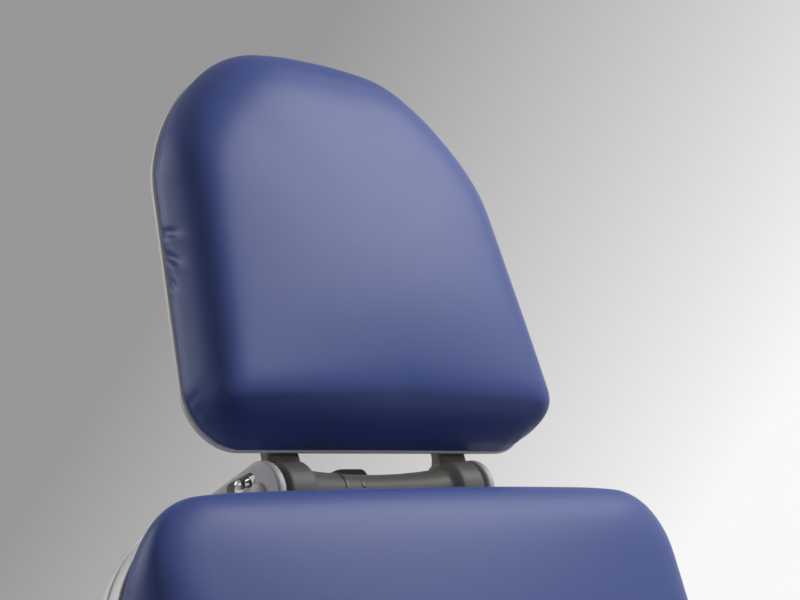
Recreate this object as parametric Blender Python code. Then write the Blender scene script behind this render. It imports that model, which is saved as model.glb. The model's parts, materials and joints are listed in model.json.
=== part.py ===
"""Powered procedure chair: lift column, reclining backrest, legrest, armrests and hinged headrest.

Metres, +Z up. The chair faces -Y and +X is the patient's left. Every moving group hangs on an
empty that stands on its joint's axis. Backrest and headrest pieces are written in the backrest's
own directions: x across, y to the rear and z up along the backrest.
"""
import math

import bmesh
import bpy
from mathutils import Matrix, Vector

# Clearances, and how far a cutter runs past the piece that it cuts
GAP = 0.0003
RUN_GAP = 0.0003
SWING_GAP = 0.0035
PAST = 0.010

# Edges broken on plates, on mouldings and on bars
EDGE = 0.001
SOFT_EDGE = 0.002
BAR_CORNER = 0.003

# Heights and places of the chair
SEAT_HEIGHT = 0.550
SEAT_FRONT = -0.280
SEAT_REAR = 0.220
SEAT_HALF = 0.270
SEAT_PAD = 0.091
SEAT_CROWN = 0.008
SEAT_ROLL = 0.030
SEAT_TUCK = 0.008
SEAT_DRAWN = 0.004
SEAT_CORNER = 0.060
SEAT_BOARD = 0.015
SEAT_BOARD_INSET = 0.015
SEAT_BOARD_FRONT_INSET = 0.010
SEAT_BOARD_REAR_INSET = 0.008
SEAT_BOARD_CORNER = 0.045
SEAT_FRAME = 0.1154
RECLINE = 0.335
LEG_DROP = 1.361

# Base
FOOT_PAD_RADIUS = 0.024
FOOT_STEM_RADIUS = 0.008
FOOT_PAD_HEIGHT = 0.008
FOOT_NECK = 0.012
FOOT_HEIGHT = 0.022
PLATE = 0.010
BASE_FRONT = -0.210
BASE_REAR = 0.390
BASE_HALF = 0.235
BASE_CORNER = 0.060
FOOT_INSET = 0.055
COVER_WALL = 0.003
COVER_INSET = 0.002
COVER_DRAFT = 0.002
COVER_SIDE = 0.053
COVER_SHOULDER = 0.012
COVER_SHOULDER_INSET = 0.010
COVER_ROOF = 0.022
COVER_ROOF_INSET = 0.028
COVER_HEIGHT = 0.086
COVER_TOP_INSET = 0.056
COVER_TOP_RISE = 0.004
COLUMN_HOLE_GAP = 0.002
CONTROL_LENGTH = 0.200
CONTROL_HALF = 0.100
CONTROL_HEIGHT = 0.045
CONTROL_INSET = 0.055
CONTROL_CORNER = 0.008
INLET_X = 0.182
INLET_HALF = 0.015
INLET_HEIGHT = 0.026
INLET_RISE = 0.018
INLET_DEPTH = 0.030
INLET_LIP = 0.006
INLET_FLANGE = 0.003
INLET_FLANGE_CORNER = 0.004
SOCKET_HALF = 0.011
SOCKET_HALF_TOP = 0.006
SOCKET_LOW = 0.005
SOCKET_TOP = 0.004
SOCKET_BEVEL = 0.005
SOCKET_FLOOR = 0.012

# Pedals
PEDAL_BOX_HALF = 0.130
PEDAL_BOX_DEPTH = 0.110
PEDAL_BOX_HEIGHT = 0.024
PEDAL_BOX_RISE = 0.010
PEDAL_BOX_CORNER = 0.030
PEDAL_BOX_EDGE = 0.0015
PEDAL_CHEEK = 0.008
PEDAL_CHEEK_RADIUS = 0.009
PEDAL_CHEEK_FOOT = 0.014
PEDAL_CHEEK_SINK = 0.010
PEDAL_AXLE_RADIUS = 0.004
PEDAL_AXLE_RISE = 0.040
PEDAL_PLATE = 0.008
PEDAL_LENGTH = 0.092
PEDAL_HUB_WALL = 0.003
PEDAL_FRONT_CORNER = 0.006
PEDAL_REAR_CORNER = 0.016

# Lift column
COLUMN_SIDE = 0.150
COLUMN_WALL = 0.004
COLUMN_STEP = 0.004
COLUMN_CORNER = 0.024
STAGE_RISE = 0.007
STAGE_LAP = 0.001
STAGE_FOOT = 0.006
GLIDE_DEPTH = 0.030
GLIDE_LIP = 0.0035
ACTUATOR_RADIUS = 0.034
ACTUATOR_MOTOR_RADIUS = 0.045
ACTUATOR_MOTOR = 0.048
ACTUATOR_FLOOR = 0.012
ACTUATOR_NECK = 0.006
ACTUATOR_TOP_DROP = 0.015
LIFT_TUBE_RISE = 0.006
LIFT_END_GAP = 0.002
LIFT_TUBE_RADIUS = 0.020
LIFT_ROD_RADIUS = 0.012
HEAD_PLATE = 0.012
HEAD_PLATE_FRONT = -0.120
HEAD_PLATE_REAR = 0.140
HEAD_PLATE_CORNER = 0.010

# Seat frame
SIDE_PLATE_X = 0.186
SIDE_PLATE = 0.008
SIDE_PLATE_DROP = 0.121
SIDE_PLATE_BEND = 0.040
SIDE_PLATE_RISE = 0.134
BACK_EAR = 0.030
BACK_EAR_CORNER = 0.029
BACK_EAR_DROP = 0.040
BACK_EAR_BEHIND = 0.060
BACK_EAR_BEND = 0.020
LEG_EAR = 0.024
LEG_EAR_DROP = 0.020
LEG_EAR_CORNER = 0.018
SKIRT_WIDTH = 0.040
SKIRT_WALL = 0.003
SKIRT_HEIGHT = 0.095
SKIRT_FRONT = -0.188
SKIRT_REAR = 0.245
SKIRT_TOP_GAP = 0.002
SKIRT_LOW_CORNER = 0.030
SKIRT_TOP_CORNER = 0.012
SKIRT_ROLL = ((0.0, 0.008), (0.003, 0.003), (0.009, 0.0))
SKIRT_HOLLOW_ROLL = ((0.0, 0.006), (0.003, 0.0015), (0.008, 0.0))
SKIRT_NOTCH_GAP = 0.002

# Shafts, bushes and cranks
SHAFT_RADIUS = 0.0125
BUSH_WALL = 0.0037
BUSH_FLANGE = 0.003
BUSH_FLANGE_RADIUS = 0.021
SHAFT_END = 0.003
CRANK_PLATE = 0.016
CRANK_HUB_RADIUS = 0.022
CRANK_TIP_RADIUS = 0.011
CRANK_PIN_RADIUS = 0.008
CRANK_PIN = 0.036
BACK_CRANK = 0.085
LEG_CRANK = 0.065
BACK_CRANK_REST = -0.523
LEG_CRANK_REST = -0.680

# Twin drive
DRIVE_HALF = 0.055
DRIVE_FRONT = -0.105
DRIVE_REAR = 0.185
DRIVE_HEIGHT = 0.061
DRIVE_CORNER = 0.012
DRIVE_EDGE = 0.003
MOTOR_RADIUS = 0.026
MOTOR_OFFSET = 0.077
MOTOR_LENGTH = 0.120
MOTOR_EDGE = 0.003
MOTOR_RISE = 0.005
MOTOR_INSET = 0.020
SLIDER_HALF = 0.015
SLIDER_HEIGHT = 0.030
SLIDER_HEAD = 0.012
SLIDER_HEAD_HALF = 0.020
SLIDER_FORK = 0.026
SLIDER_FORK_GAP = 0.0015
BACK_SLIDER_RISE = 0.021
BACK_SLIDER_HEAD_HEIGHT = 0.056
BACK_SLIDER_LENGTH = 0.190
LEG_SLIDER_RISE = 0.005
LEG_SLIDER_HEAD_HEIGHT = 0.040
LEG_SLIDER_LENGTH = 0.160
BACK_PUSH_GAP = 0.0031
LEG_PUSH_GAP = 0.0020
BACK_SLIDER_ROOM = 0.108
LEG_SLIDER_ROOM = 0.011

# Backrest
BACK_AXIS_BEHIND = 0.075
BACK_AXIS_DROP = 0.075
BACK_PAD = 0.072
BACK_PAD_LOW = 0.040
BACK_PAD_TOP = 0.640
BACK_HALF_LOW = 0.262
BACK_HALF_TOP = 0.239
BACK_CORNER = 0.049
BACK_LOW_CORNER = 0.040
BACK_TOP_CROWN = 0.005
BACK_FACE_CROWN = 0.006
BACK_ROLL = 0.024
BACK_TUCK = 0.010
BACK_DRAWN = 0.003
BACK_BOARD = 0.0152
BACK_BOARD_INSET = 0.016
BACK_BOARD_LOW = 0.042
BACK_BOARD_DIP = 0.008
BACK_TUBE = 0.030
BACK_TUBE_WALL = 0.0025
BACK_TUBE_CORNER = 0.004
BACK_TUBE_X = 0.150
BACK_TUBE_LOW = -0.030
BACK_TUBE_DROP = 0.080
CROSS_BAR_DROP = 0.170
SHELL_LIP = 0.0045
SHELL_DEPTH = 0.057
SHELL_WALL = 0.003
SHELL_LOW = 0.036
SHELL_START = 0.001
SHELL_DIP = 0.018
SHELL_DIP_HALF = 0.118
SHELL_DIP_EASE = 0.022
SHELL_ROLL = ((0.022, 0.0), (0.010, 0.006), (0.003, 0.018))
SHELL_HOLLOW_ROLL = ((0.003, 0.017), (0.009, 0.006), (0.020, 0.0))
SHELL_GROOVE_AT = 0.019
SHELL_GROOVE = 0.0014
SHELL_GROOVE_WIDTH = 0.0024
SHELL_FOOT_NOTCH = 0.035
SHELL_FOOT_CORNER = 0.012
SHELL_HOLE_GAP = 0.001

# Headrest and its hinge
HEAD_GAP = 0.044
HEAD_SET_BACK = 0.0045
HEAD_HALF_LOW = 0.168
HEAD_HALF_TOP = 0.147
HEAD_HEIGHT = 0.278
HEAD_TOP_CROWN = 0.034
HEAD_LOW_CORNER = 0.039
HEAD_TOP_CORNER = 0.0965
HEAD_BOARD = 0.008
HEAD_PAD = 0.049
HEAD_PAD_INSET = 0.002
HEAD_FACE_CROWN = 0.006
HEAD_ROLL = 0.022
HEAD_TUCK = 0.006
HEAD_DRAWN = 0.002
HEAD_BOARD_EDGE = 0.002
PIVOT_DROP = 0.025
PIVOT_BEHIND = 0.009
HUB_RADIUS = 0.0225
HUB_INNER = 0.071
HUB_OUTER = 0.095
HUB_NECK = 0.004
BAR_RADIUS = 0.016
UPRIGHT_X = 0.083
UPRIGHT_WIDTH = 0.030
UPRIGHT_TOP_WIDTH = 0.026
UPRIGHT_DEPTH = 0.012
UPRIGHT_HEIGHT = 0.150
UPRIGHT_CORNER = 0.008
AXLE_RADIUS = 0.006
AXLE_HEAD_RADIUS = 0.0078
AXLE_HEAD = 0.003
FORK_ARM = 0.0085
FORK_REAR = 0.090
FORK_CROSS = 0.032
FORK_REAR_TOP = 0.013
FORK_REAR_LOW = -0.016
FORK_INNER_CORNER = 0.012
FORK_OUTER_CORNER = 0.014
FORK_NOSE_STEPS = 14
RELEASE_Y = 0.0165
RELEASE_Z = 0.0120
RELEASE_SLOT = 0.028
RELEASE_RADIUS = 0.0027
RELEASE_HEAD_RADIUS = 0.0052
RELEASE_HEAD = 0.006
RELEASE_WASHER = 0.0024
LOCK_HALF_TOP = 0.015
LOCK_HALF_LOW = 0.021
LOCK_TOP = 0.023
LOCK_GAP = 0.0005
LOCK_CORNER = 0.0035
MAST_HALF = 0.030
MAST = 0.012
MAST_LENGTH = 0.340
GUIDE_HALF = 0.048
GUIDE_WALL = 0.014
GUIDE_LENGTH = 0.150
GUIDE_RISE = 0.030
GUIDE_BOSS_HALF = 0.020
GUIDE_CORNER = 0.008
GUIDE_SPACER = 0.005
GUIDE_BOSS_SINK = 0.004

# Legrest
LEG_AXIS_BEHIND = 0.070
LEG_AXIS_DROP = 0.130
LEG_PAD = 0.075
LEG_PAD_START = 0.082
LEG_PAD_END = 0.385
LEG_HALF = 0.230
LEG_CORNER = 0.060
LEG_TOP_CORNER = 0.035
LEG_CROWN = 0.006
LEG_ROLL = 0.024
LEG_TUCK = 0.008
LEG_DRAWN = 0.003
LEG_BOARD = 0.012
LEG_BOARD_INSET = 0.015
LEG_BOARD_TOP_INSET = 0.004
LEG_BOARD_CORNER = 0.030
LEG_ARM_X = 0.150
LEG_ARM = 0.008
LEG_ARM_END = 0.350
LEG_ARM_STEP = 0.078
LEG_ARM_HUB = 0.021
LEG_ARM_LOW = -0.018
LEG_ARM_THROAT = 0.017
LEG_ARM_SLOPE = 0.012
LEG_ARM_TIP = 0.018
LEG_ARM_BELLY = 0.050
LEG_ARM_BELLY_RISE = 0.010
LEG_ARM_HEEL = 0.030
LEG_ARM_HUB_CORNER = 0.016
LEG_ARM_BEND = 0.010
LEG_ARM_TIP_CORNER = 0.006

# Armrests
ARM_SIDE_GAP = 0.015
ARM_BAR = 0.015
ARM_BAR_WIDTH = 0.050
ARM_BRACKET_Y = 0.125
ARM_BRACKET_DROP = 0.0954
ARM_BRACKET_BEND = 0.030
ARM_BRACKET_INNER_BEND = 0.015
ARM_BRACKET_CORNER = 0.004
ARM_AXIS_RISE = 0.110
ARM_AXIS_COVER = 0.024
ARM_SUPPORT = 0.012
ARM_HUB_RADIUS = 0.021
ARM_TIP_RADIUS = 0.013
ARM_REACH = 0.300
ARM_TOP = 0.036
ARM_FLANGE_FRONT = 0.010
ARM_FLANGE_REAR = 0.030
ARM_FLANGE_CORNER = 0.010
ARM_FLANGE = 0.005
ARM_FLANGE_HALF = 0.026
ARM_PIN_RADIUS = 0.008
ARM_PIN_HEAD_RADIUS = 0.013
ARM_PIN_HEAD = 0.004
ARM_PAD = 0.042
ARM_PAD_HALF = 0.040
ARM_PAD_LENGTH = 0.360
ARM_PAD_REAR = 0.012
ARM_PAD_OUT = 0.030
ARM_PAD_CORNER = 0.030
ARM_PAD_CROWN = 0.005
ARM_PAD_ROLL = 0.018
ARM_PAD_TUCK = 0.005

# Form of the cushions, as shares of their height or of their outline
TUCK_LEFT = 0.3
TUCK_RISE = 0.16
BULGE_RISE = 0.42
FACE_RINGS = (0.88, 0.70, 0.48, 0.24)
CROWN_POWER = 1.4
BOW_START = 0.7

# Longest stretch between two points of a cushion's outline
SEAT_STEP = 0.080
BACK_STEP = 0.070
SHELL_STEP = 0.042
HEAD_STEP = 0.030
LEG_STEP = 0.070
ARM_STEP = 0.100

# Levels worked out from the sizes above
PLATE_TOP = FOOT_HEIGHT + PLATE
BOARD_TOP = SEAT_HEIGHT - SEAT_PAD
BOARD_LOW = BOARD_TOP - GAP - SEAT_BOARD
FRAME_TOP = BOARD_LOW - GAP
INNER_TOP = FRAME_TOP - SEAT_FRAME
COLUMN_TOP = INNER_TOP - 2 * STAGE_RISE + STAGE_LAP
HEAD_LOW = INNER_TOP + GAP
HEAD_TOP = HEAD_LOW + HEAD_PLATE
ARM_X = SEAT_HALF + ARM_SIDE_GAP
ARM_AXIS_Z = SEAT_HEIGHT + ARM_AXIS_RISE
ARM_BRACKET_LOW = FRAME_TOP - ARM_BRACKET_DROP
ARM_BRACKET_TOP = ARM_AXIS_Z + ARM_AXIS_COVER
BACK_AXIS_Y = SEAT_REAR + BACK_AXIS_BEHIND
BACK_AXIS_Z = SEAT_HEIGHT - BACK_AXIS_DROP
LEG_AXIS_Y = SEAT_FRONT + LEG_AXIS_BEHIND
LEG_AXIS_Z = SEAT_HEIGHT - LEG_AXIS_DROP
TUBE_FRONT = SHAFT_RADIUS + GAP
BACK_BOARD_FRONT = TUBE_FRONT - GAP - BACK_BOARD
PAD_REAR = BACK_BOARD_FRONT - GAP
CROSS_BAR_Z = BACK_PAD_TOP - CROSS_BAR_DROP
SHELL_REAR = SHELL_START + SHELL_DEPTH
MAST_FRONT = SHELL_REAR + GAP + GUIDE_WALL + GUIDE_SPACER + GAP
HEAD_FOOT = BACK_PAD_TOP + HEAD_GAP
PIVOT_Y = PAD_REAR + HEAD_SET_BACK + PIVOT_BEHIND
PIVOT_Z = HEAD_FOOT - PIVOT_DROP
FORK_INNER = HUB_OUTER + SWING_GAP
FORK_OUTER = FORK_INNER + FORK_ARM


def material(name, colour, roughness, metallic=0.0):
    """Principled material of one colour."""
    finish = bpy.data.materials.new(name)
    finish.use_nodes = True
    shader = finish.node_tree.nodes["Principled BSDF"]
    shader.inputs["Base Color"].default_value = (*colour, 1.0)
    shader.inputs["Roughness"].default_value = roughness
    shader.inputs["Metallic"].default_value = metallic
    return finish


def frame(name, parent, location, turn=0.0):
    """Empty on a joint's axis, turned about X."""
    empty = bpy.data.objects.new(name, None)
    bpy.context.collection.objects.link(empty)
    empty.parent = parent
    empty.location = location
    empty.rotation_euler.x = turn
    return empty


def add(name, shape, parent, finish):
    """Named object from a closed bmesh, shaded smooth between sharp edges."""
    mesh = bpy.data.meshes.new(name)
    shape.to_mesh(mesh)
    shape.free()
    mesh.materials.append(finish)
    mesh.shade_smooth()
    mesh.set_sharp_from_angle(angle=math.radians(32))
    part = bpy.data.objects.new(name, mesh)
    bpy.context.collection.objects.link(part)
    part.parent = parent
    return part


def combine(part, shape, operation):
    """Boolean of a part with a bmesh in the part's own frame."""
    tool = add(part.name + "_tool", shape, part.parent, part.data.materials[0])
    modifier = part.modifiers.new(operation, "BOOLEAN")
    modifier.operation = operation
    modifier.solver = "EXACT"
    modifier.object = tool
    bpy.context.view_layer.update()
    depsgraph = bpy.context.evaluated_depsgraph_get()
    result = bpy.data.meshes.new_from_object(part.evaluated_get(depsgraph))
    part.modifiers.clear()
    old = part.data
    part.data = result
    bpy.data.meshes.remove(old)
    bpy.data.objects.remove(tool)
    part.data.name = part.name


def cut(part, shape):
    combine(part, shape, "DIFFERENCE")


def fuse(part, shape):
    combine(part, shape, "UNION")


def place(axis, a, b, h):
    """Point of a flat outline (a, b), lifted by h along an axis."""
    return {"X": (h, a, b), "Y": (a, h, b), "Z": (a, b, h)}[axis]


def rounded(corners, segments=3):
    """Outline of a polygon of (a, b, radius), each corner turned into an arc."""
    outline = []
    for i, (a, b, radius) in enumerate(corners):
        here = Vector((a, b))
        if radius == 0:
            outline.append((a, b))
            continue
        before = (Vector(corners[i - 1][:2]) - here).normalized()
        after = (Vector(corners[(i + 1) % len(corners)][:2]) - here).normalized()
        half = before.angle(after) / 2
        centre = here + (before + after).normalized() * (radius / math.sin(half))
        start = here + before * (radius / math.tan(half)) - centre
        end = here + after * (radius / math.tan(half)) - centre
        first = math.atan2(start.y, start.x)
        sweep = (math.atan2(end.y, end.x) - first + math.pi) % (2 * math.pi) - math.pi
        for k in range(segments + 1):
            angle = first + sweep * k / segments
            outline.append((centre.x + radius * math.cos(angle), centre.y + radius * math.sin(angle)))
    return outline


def block(a0, a1, b0, b1, radius=0.0, segments=2):
    """Rectangle with rounded corners."""
    return rounded([(a0, b0, radius), (a1, b0, radius), (a1, b1, radius), (a0, b1, radius)], segments)


def circle(radius, centre=(0.0, 0.0), count=16):
    """Round outline."""
    step = 2 * math.pi / count
    turns = [step * (k + 0.5) for k in range(count)]
    return [(centre[0] + radius * math.cos(t), centre[1] + radius * math.sin(t)) for t in turns]


def link(start, end, start_radius, end_radius, segments=6):
    """Bar with a round end at each of its two centres."""
    heading = math.atan2(end[1] - start[1], end[0] - start[0])
    outline = []
    for (a, b), radius, lead in ((start, start_radius, math.pi / 2), (end, end_radius, -math.pi / 2)):
        for k in range(segments + 1):
            angle = heading + lead + math.pi * k / segments
            outline.append((a + radius * math.cos(angle), b + radius * math.sin(angle)))
    return outline


def spaced(outline, step):
    """Outline with its long straight stretches split evenly."""
    points = []
    for i, (a, b) in enumerate(outline):
        c, d = outline[(i + 1) % len(outline)]
        pieces = max(1, round(math.hypot(c - a, d - b) / step))
        for k in range(pieces):
            points.append((a + (c - a) * k / pieces, b + (d - b) * k / pieces))
    return points


def inset(outline, depth):
    """Outline moved inwards along its own normals."""
    moved = []
    for i, (a, b) in enumerate(outline):
        before = outline[i - 1]
        after = outline[(i + 1) % len(outline)]
        along = Vector((after[0] - before[0], after[1] - before[1])).normalized()
        moved.append((a - along.y * depth, b + along.x * depth))
    return moved


def panel(low, high, half_low, half_high, corner_low, corner_high, crown=0.0, step=SHELL_STEP):
    """Upright panel with rounded corners whose top edge is bowed up by crown."""
    corners = [(-half_low, low, corner_low), (half_low, low, corner_low),
               (half_high, high, corner_high), (-half_high, high, corner_high)]
    bowed = []
    for a, b in spaced(rounded(corners, 6), step):
        rise = max(0.0, min(1.0, ((b - low) / (high - low) - BOW_START) / (1 - BOW_START)))
        bowed.append((a, b + crown * max(0.0, 1 - (a / half_high) ** 2) * rise))
    return bowed


def loft(rings, endless=False):
    """Skin through rings of points, capped at both ends or joined up into a ring."""
    shape = bmesh.new()
    loops = [[shape.verts.new(point) for point in ring] for ring in rings]
    pairs = list(zip(loops, loops[1:]))
    if endless:
        pairs.append((loops[-1], loops[0]))
    for lower, upper in pairs:
        for i in range(len(lower)):
            shape.faces.new((lower[i - 1], lower[i], upper[i], upper[i - 1]))
    if not endless:
        shape.faces.new(loops[0])
        shape.faces.new(loops[-1])
    bmesh.ops.recalc_face_normals(shape, faces=shape.faces)
    return shape


def prism(outline, axis, low, high):
    """Outline carried along an axis."""
    return loft([[place(axis, a, b, h) for a, b in outline] for h in (low, high)])


def chamfered(outline, axis, low, high, edge):
    """Outline carried along an axis, with both ends drawn in by a small edge."""
    small = inset(outline, edge)
    levels = ((small, low), (outline, low + edge), (outline, high - edge), (small, high))
    return loft([[place(axis, a, b, h) for a, b in ring] for ring, h in levels])


def pipe(outer, inner, axis, low, high):
    """Tube between two outlines of as many points."""
    levels = ((outer, low), (outer, high), (inner, high), (inner, low))
    return loft([[place(axis, a, b, h) for a, b in ring] for ring, h in levels], endless=True)


def turned(axis, stations, centre=(0.0, 0.0), count=16, endless=False):
    """Round piece through stations of (place along the axis, radius)."""
    rings = [[place(axis, a, b, h) for a, b in circle(radius, centre, count)] for h, radius in stations]
    return loft(rings, endless)


def cushion(outline, thickness, crown, roll, tuck, spread):
    """Closed pad: tucked back edge, sides swelling to mid depth, rolled front edge, crowned face.

    spread turns (a, b, h) into a point, with h counted from the pad's flat back.
    """
    levels = [(tuck, 0.0), (tuck * TUCK_LEFT, thickness * TUCK_RISE), (0.0, thickness * BULGE_RISE)]
    for k in range(5):
        angle = math.pi / 2 * k / 4
        levels.append((roll * (1 - math.cos(angle)), thickness - roll * (1 - math.sin(angle))))
    rings = [[spread(a, b, h) for a, b in inset(outline, depth)] for depth, h in levels]
    front = inset(outline, roll)
    mid_a = sum(a for a, b in front) / len(front)
    mid_b = (min(b for a, b in front) + max(b for a, b in front)) / 2
    for share in FACE_RINGS:
        height = thickness + crown * (1 - share ** 2) ** CROWN_POWER
        rings.append([spread(mid_a + (a - mid_a) * share, mid_b + (b - mid_b) * share, height)
                      for a, b in front])
    return loft(rings)


def drawn_in(outline, depth):
    """Outline whose sides pull in by depth between the corners."""
    half_a = max(abs(a) for a, b in outline)
    low = min(b for a, b in outline)
    high = max(b for a, b in outline)
    mid = (low + high) / 2
    half_b = (high - low) / 2
    pulled = []
    for a, b in outline:
        across = a / half_a
        along = (b - mid) / half_b
        pulled.append((a * (1 - depth / half_a * (1 - along ** 2)),
                       mid + (b - mid) * (1 - depth / half_b * (1 - across ** 2))))
    return pulled


def build_base(chair, finish):
    """Levelling feet, plate, moulded cover, control box and power inlet."""
    footprint = block(-BASE_HALF, BASE_HALF, BASE_FRONT, BASE_REAR, BASE_CORNER, 5)
    add("base_plate", chamfered(footprint, "Z", FOOT_HEIGHT, PLATE_TOP, EDGE), chair, finish["steel"])
    stations = [(0.0, FOOT_PAD_RADIUS - SOFT_EDGE), (SOFT_EDGE, FOOT_PAD_RADIUS),
                (FOOT_PAD_HEIGHT, FOOT_PAD_RADIUS), (FOOT_NECK, FOOT_STEM_RADIUS),
                (FOOT_HEIGHT - GAP, FOOT_STEM_RADIUS)]
    for side, x in (("right", -BASE_HALF + FOOT_INSET), ("left", BASE_HALF - FOOT_INSET)):
        for end, y in (("front", BASE_FRONT + FOOT_INSET), ("rear", BASE_REAR - FOOT_INSET)):
            foot = turned("Z", stations, (x, y))
            add(f"levelling_foot_{end}_{side}", foot, chair, finish["rubber"])
    cover = add("base_cover", cover_shape(footprint), chair, finish["white"])
    low = PLATE_TOP + GAP
    box_rear = BASE_REAR - CONTROL_INSET
    box = block(-CONTROL_HALF, CONTROL_HALF, box_rear - CONTROL_LENGTH, box_rear, CONTROL_CORNER)
    add("control_box", chamfered(box, "Z", low, low + CONTROL_HEIGHT, SOFT_EDGE), chair, finish["dark"])
    build_inlet(chair, cover, finish)


def cover_shape(footprint):
    """Moulded base cover: drafted walls, a rolled shoulder and a roof that rises to the column."""
    low = PLATE_TOP + GAP
    top = low + COVER_HEIGHT
    side = low + COVER_SIDE
    half = COLUMN_SIDE / 2 + COLUMN_HOLE_GAP
    opening = block(-half, half, -half, half, COLUMN_CORNER + COLUMN_HOLE_GAP, 5)
    outside = ((COVER_INSET, low), (COVER_INSET + COVER_DRAFT, side),
               (COVER_SHOULDER_INSET, side + COVER_SHOULDER), (COVER_ROOF_INSET, side + COVER_ROOF),
               (COVER_TOP_INSET, top - COVER_TOP_RISE))
    rings = [[(a, b, z) for a, b in inset(footprint, depth)] for depth, z in outside]
    rings.append([(a, b, top) for a, b in opening])
    rings.append([(a, b, top - COVER_WALL) for a, b in opening])
    for depth, z in reversed(outside):
        drop = COVER_WALL if z > low else 0.0
        rings.append([(a, b, z - drop) for a, b in inset(footprint, depth + COVER_WALL)])
    return loft(rings, endless=True)


def build_inlet(chair, cover, finish):
    """Appliance inlet in the rear wall of the base cover."""
    low = PLATE_TOP + GAP + INLET_RISE
    high = low + INLET_HEIGHT
    left = INLET_X - INLET_HALF
    right = INLET_X + INLET_HALF
    hole = block(left - GAP, right + GAP, low - GAP, high + GAP, SOFT_EDGE)
    cut(cover, prism(hole, "Y", BASE_REAR - INLET_DEPTH, BASE_REAR + PAST))
    body = block(left, right, low, high, SOFT_EDGE)
    shape = prism(body, "Y", BASE_REAR - INLET_DEPTH, BASE_REAR + INLET_FLANGE / 2)
    inlet = add("power_inlet", shape, chair, finish["dark"])
    lip = block(left - INLET_LIP, right + INLET_LIP, low - INLET_LIP, high + INLET_LIP, INLET_FLANGE_CORNER)
    fuse(inlet, prism(lip, "Y", BASE_REAR, BASE_REAR + INLET_FLANGE))
    foot = low + SOCKET_LOW
    head = high - SOCKET_TOP
    bevel = head - SOCKET_BEVEL
    socket = rounded([(INLET_X - SOCKET_HALF, foot, EDGE), (INLET_X + SOCKET_HALF, foot, EDGE),
                      (INLET_X + SOCKET_HALF, bevel, EDGE), (INLET_X + SOCKET_HALF_TOP, head, EDGE),
                      (INLET_X - SOCKET_HALF_TOP, head, EDGE), (INLET_X - SOCKET_HALF, bevel, EDGE)], 2)
    cut(inlet, prism(socket, "Y", BASE_REAR - INLET_DEPTH + SOCKET_FLOOR, BASE_REAR + PAST))


def build_pedals(chair, finish):
    """Low tray behind the base with two rocker pedals on one axle line."""
    front = BASE_REAR + GAP
    rear = front + PEDAL_BOX_DEPTH
    floor_top = PEDAL_BOX_RISE + PEDAL_BOX_HEIGHT
    tray = rounded([(-PEDAL_BOX_HALF, front, SOFT_EDGE), (PEDAL_BOX_HALF, front, SOFT_EDGE),
                    (PEDAL_BOX_HALF, rear, PEDAL_BOX_CORNER), (-PEDAL_BOX_HALF, rear, PEDAL_BOX_CORNER)], 5)
    shape = chamfered(tray, "Z", PEDAL_BOX_RISE, floor_top, PEDAL_BOX_EDGE)
    housing = add("pedal_housing", shape, chair, finish["dark"])
    axis_y = (front + rear) / 2
    axis_z = PEDAL_BOX_RISE + PEDAL_AXLE_RISE
    cheek = link((axis_y, axis_z), (axis_y, floor_top - PEDAL_CHEEK_SINK), PEDAL_CHEEK_RADIUS,
                 PEDAL_CHEEK_FOOT)
    middle = PEDAL_CHEEK / 2
    for x in (-PEDAL_BOX_HALF + middle, 0.0, PEDAL_BOX_HALF - middle):
        fuse(housing, prism(cheek, "X", x - middle, x + middle))
    half = (PEDAL_BOX_HALF - 3 * middle) / 2 - RUN_GAP
    for name, sign in (("lift_pedal", -1), ("back_pedal", 1)):
        axis = frame(name + "_axis", chair, (0.0, axis_y, axis_z))
        build_pedal(name, axis, sign * (middle + RUN_GAP + half), half, finish)
    reach = PEDAL_BOX_HALF - EDGE
    bore = PEDAL_AXLE_RADIUS + RUN_GAP
    cut(housing, turned("X", [(-reach, bore), (reach, bore)], (axis_y, axis_z), 12))


def build_pedal(name, axis, mid, half, finish):
    """Rocker pedal: tread plate, hub rib and a stub at each end, the inner one shorter."""
    low = PEDAL_AXLE_RADIUS
    reach = PEDAL_LENGTH / 2
    tread = rounded([(mid - half, -reach, PEDAL_FRONT_CORNER), (mid + half, -reach, PEDAL_FRONT_CORNER),
                     (mid + half, reach, PEDAL_REAR_CORNER), (mid - half, reach, PEDAL_REAR_CORNER)])
    pedal = add(name, chamfered(tread, "Z", low, low + PEDAL_PLATE, PEDAL_BOX_EDGE), axis, finish["grey"])
    hub_radius = PEDAL_AXLE_RADIUS + PEDAL_HUB_WALL
    hub = link((0.0, 0.0), (0.0, low + SOFT_EDGE), hub_radius, hub_radius)
    fuse(pedal, prism(hub, "X", mid - half + EDGE, mid + half - EDGE))
    inner = half + PEDAL_CHEEK / 4
    outer = half + PEDAL_CHEEK / 2
    ends = (mid - inner, mid + outer) if mid > 0 else (mid - outer, mid + inner)
    fuse(pedal, turned("X", [(x, PEDAL_AXLE_RADIUS) for x in ends], count=12))


def column_tube(side, low, high):
    """Square column tube with rounded corners."""
    half = side / 2
    radius = COLUMN_CORNER * side / COLUMN_SIDE
    outer = block(-half, half, -half, half, radius, 4)
    return pipe(outer, inset(outer, COLUMN_WALL), "Z", low, high)


def glide_ring(outer_side, inner_side, lip_side, top):
    """Plastic ring between two column tubes, with a lip over the outer tube's end."""
    sides = ((outer_side / 2 - RUN_GAP, top - GLIDE_DEPTH), (outer_side / 2 - RUN_GAP, top + GAP),
             (lip_side / 2, top + GAP), (lip_side / 2, top + GAP + GLIDE_LIP),
             (inner_side / 2 + RUN_GAP, top + GAP + GLIDE_LIP), (inner_side / 2 + RUN_GAP, top - GLIDE_DEPTH))
    rings = []
    for half, z in sides:
        radius = COLUMN_CORNER * 2 * half / COLUMN_SIDE
        rings.append([(a, b, z) for a, b in block(-half, half, -half, half, radius, 4)])
    return loft(rings, endless=True)


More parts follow.
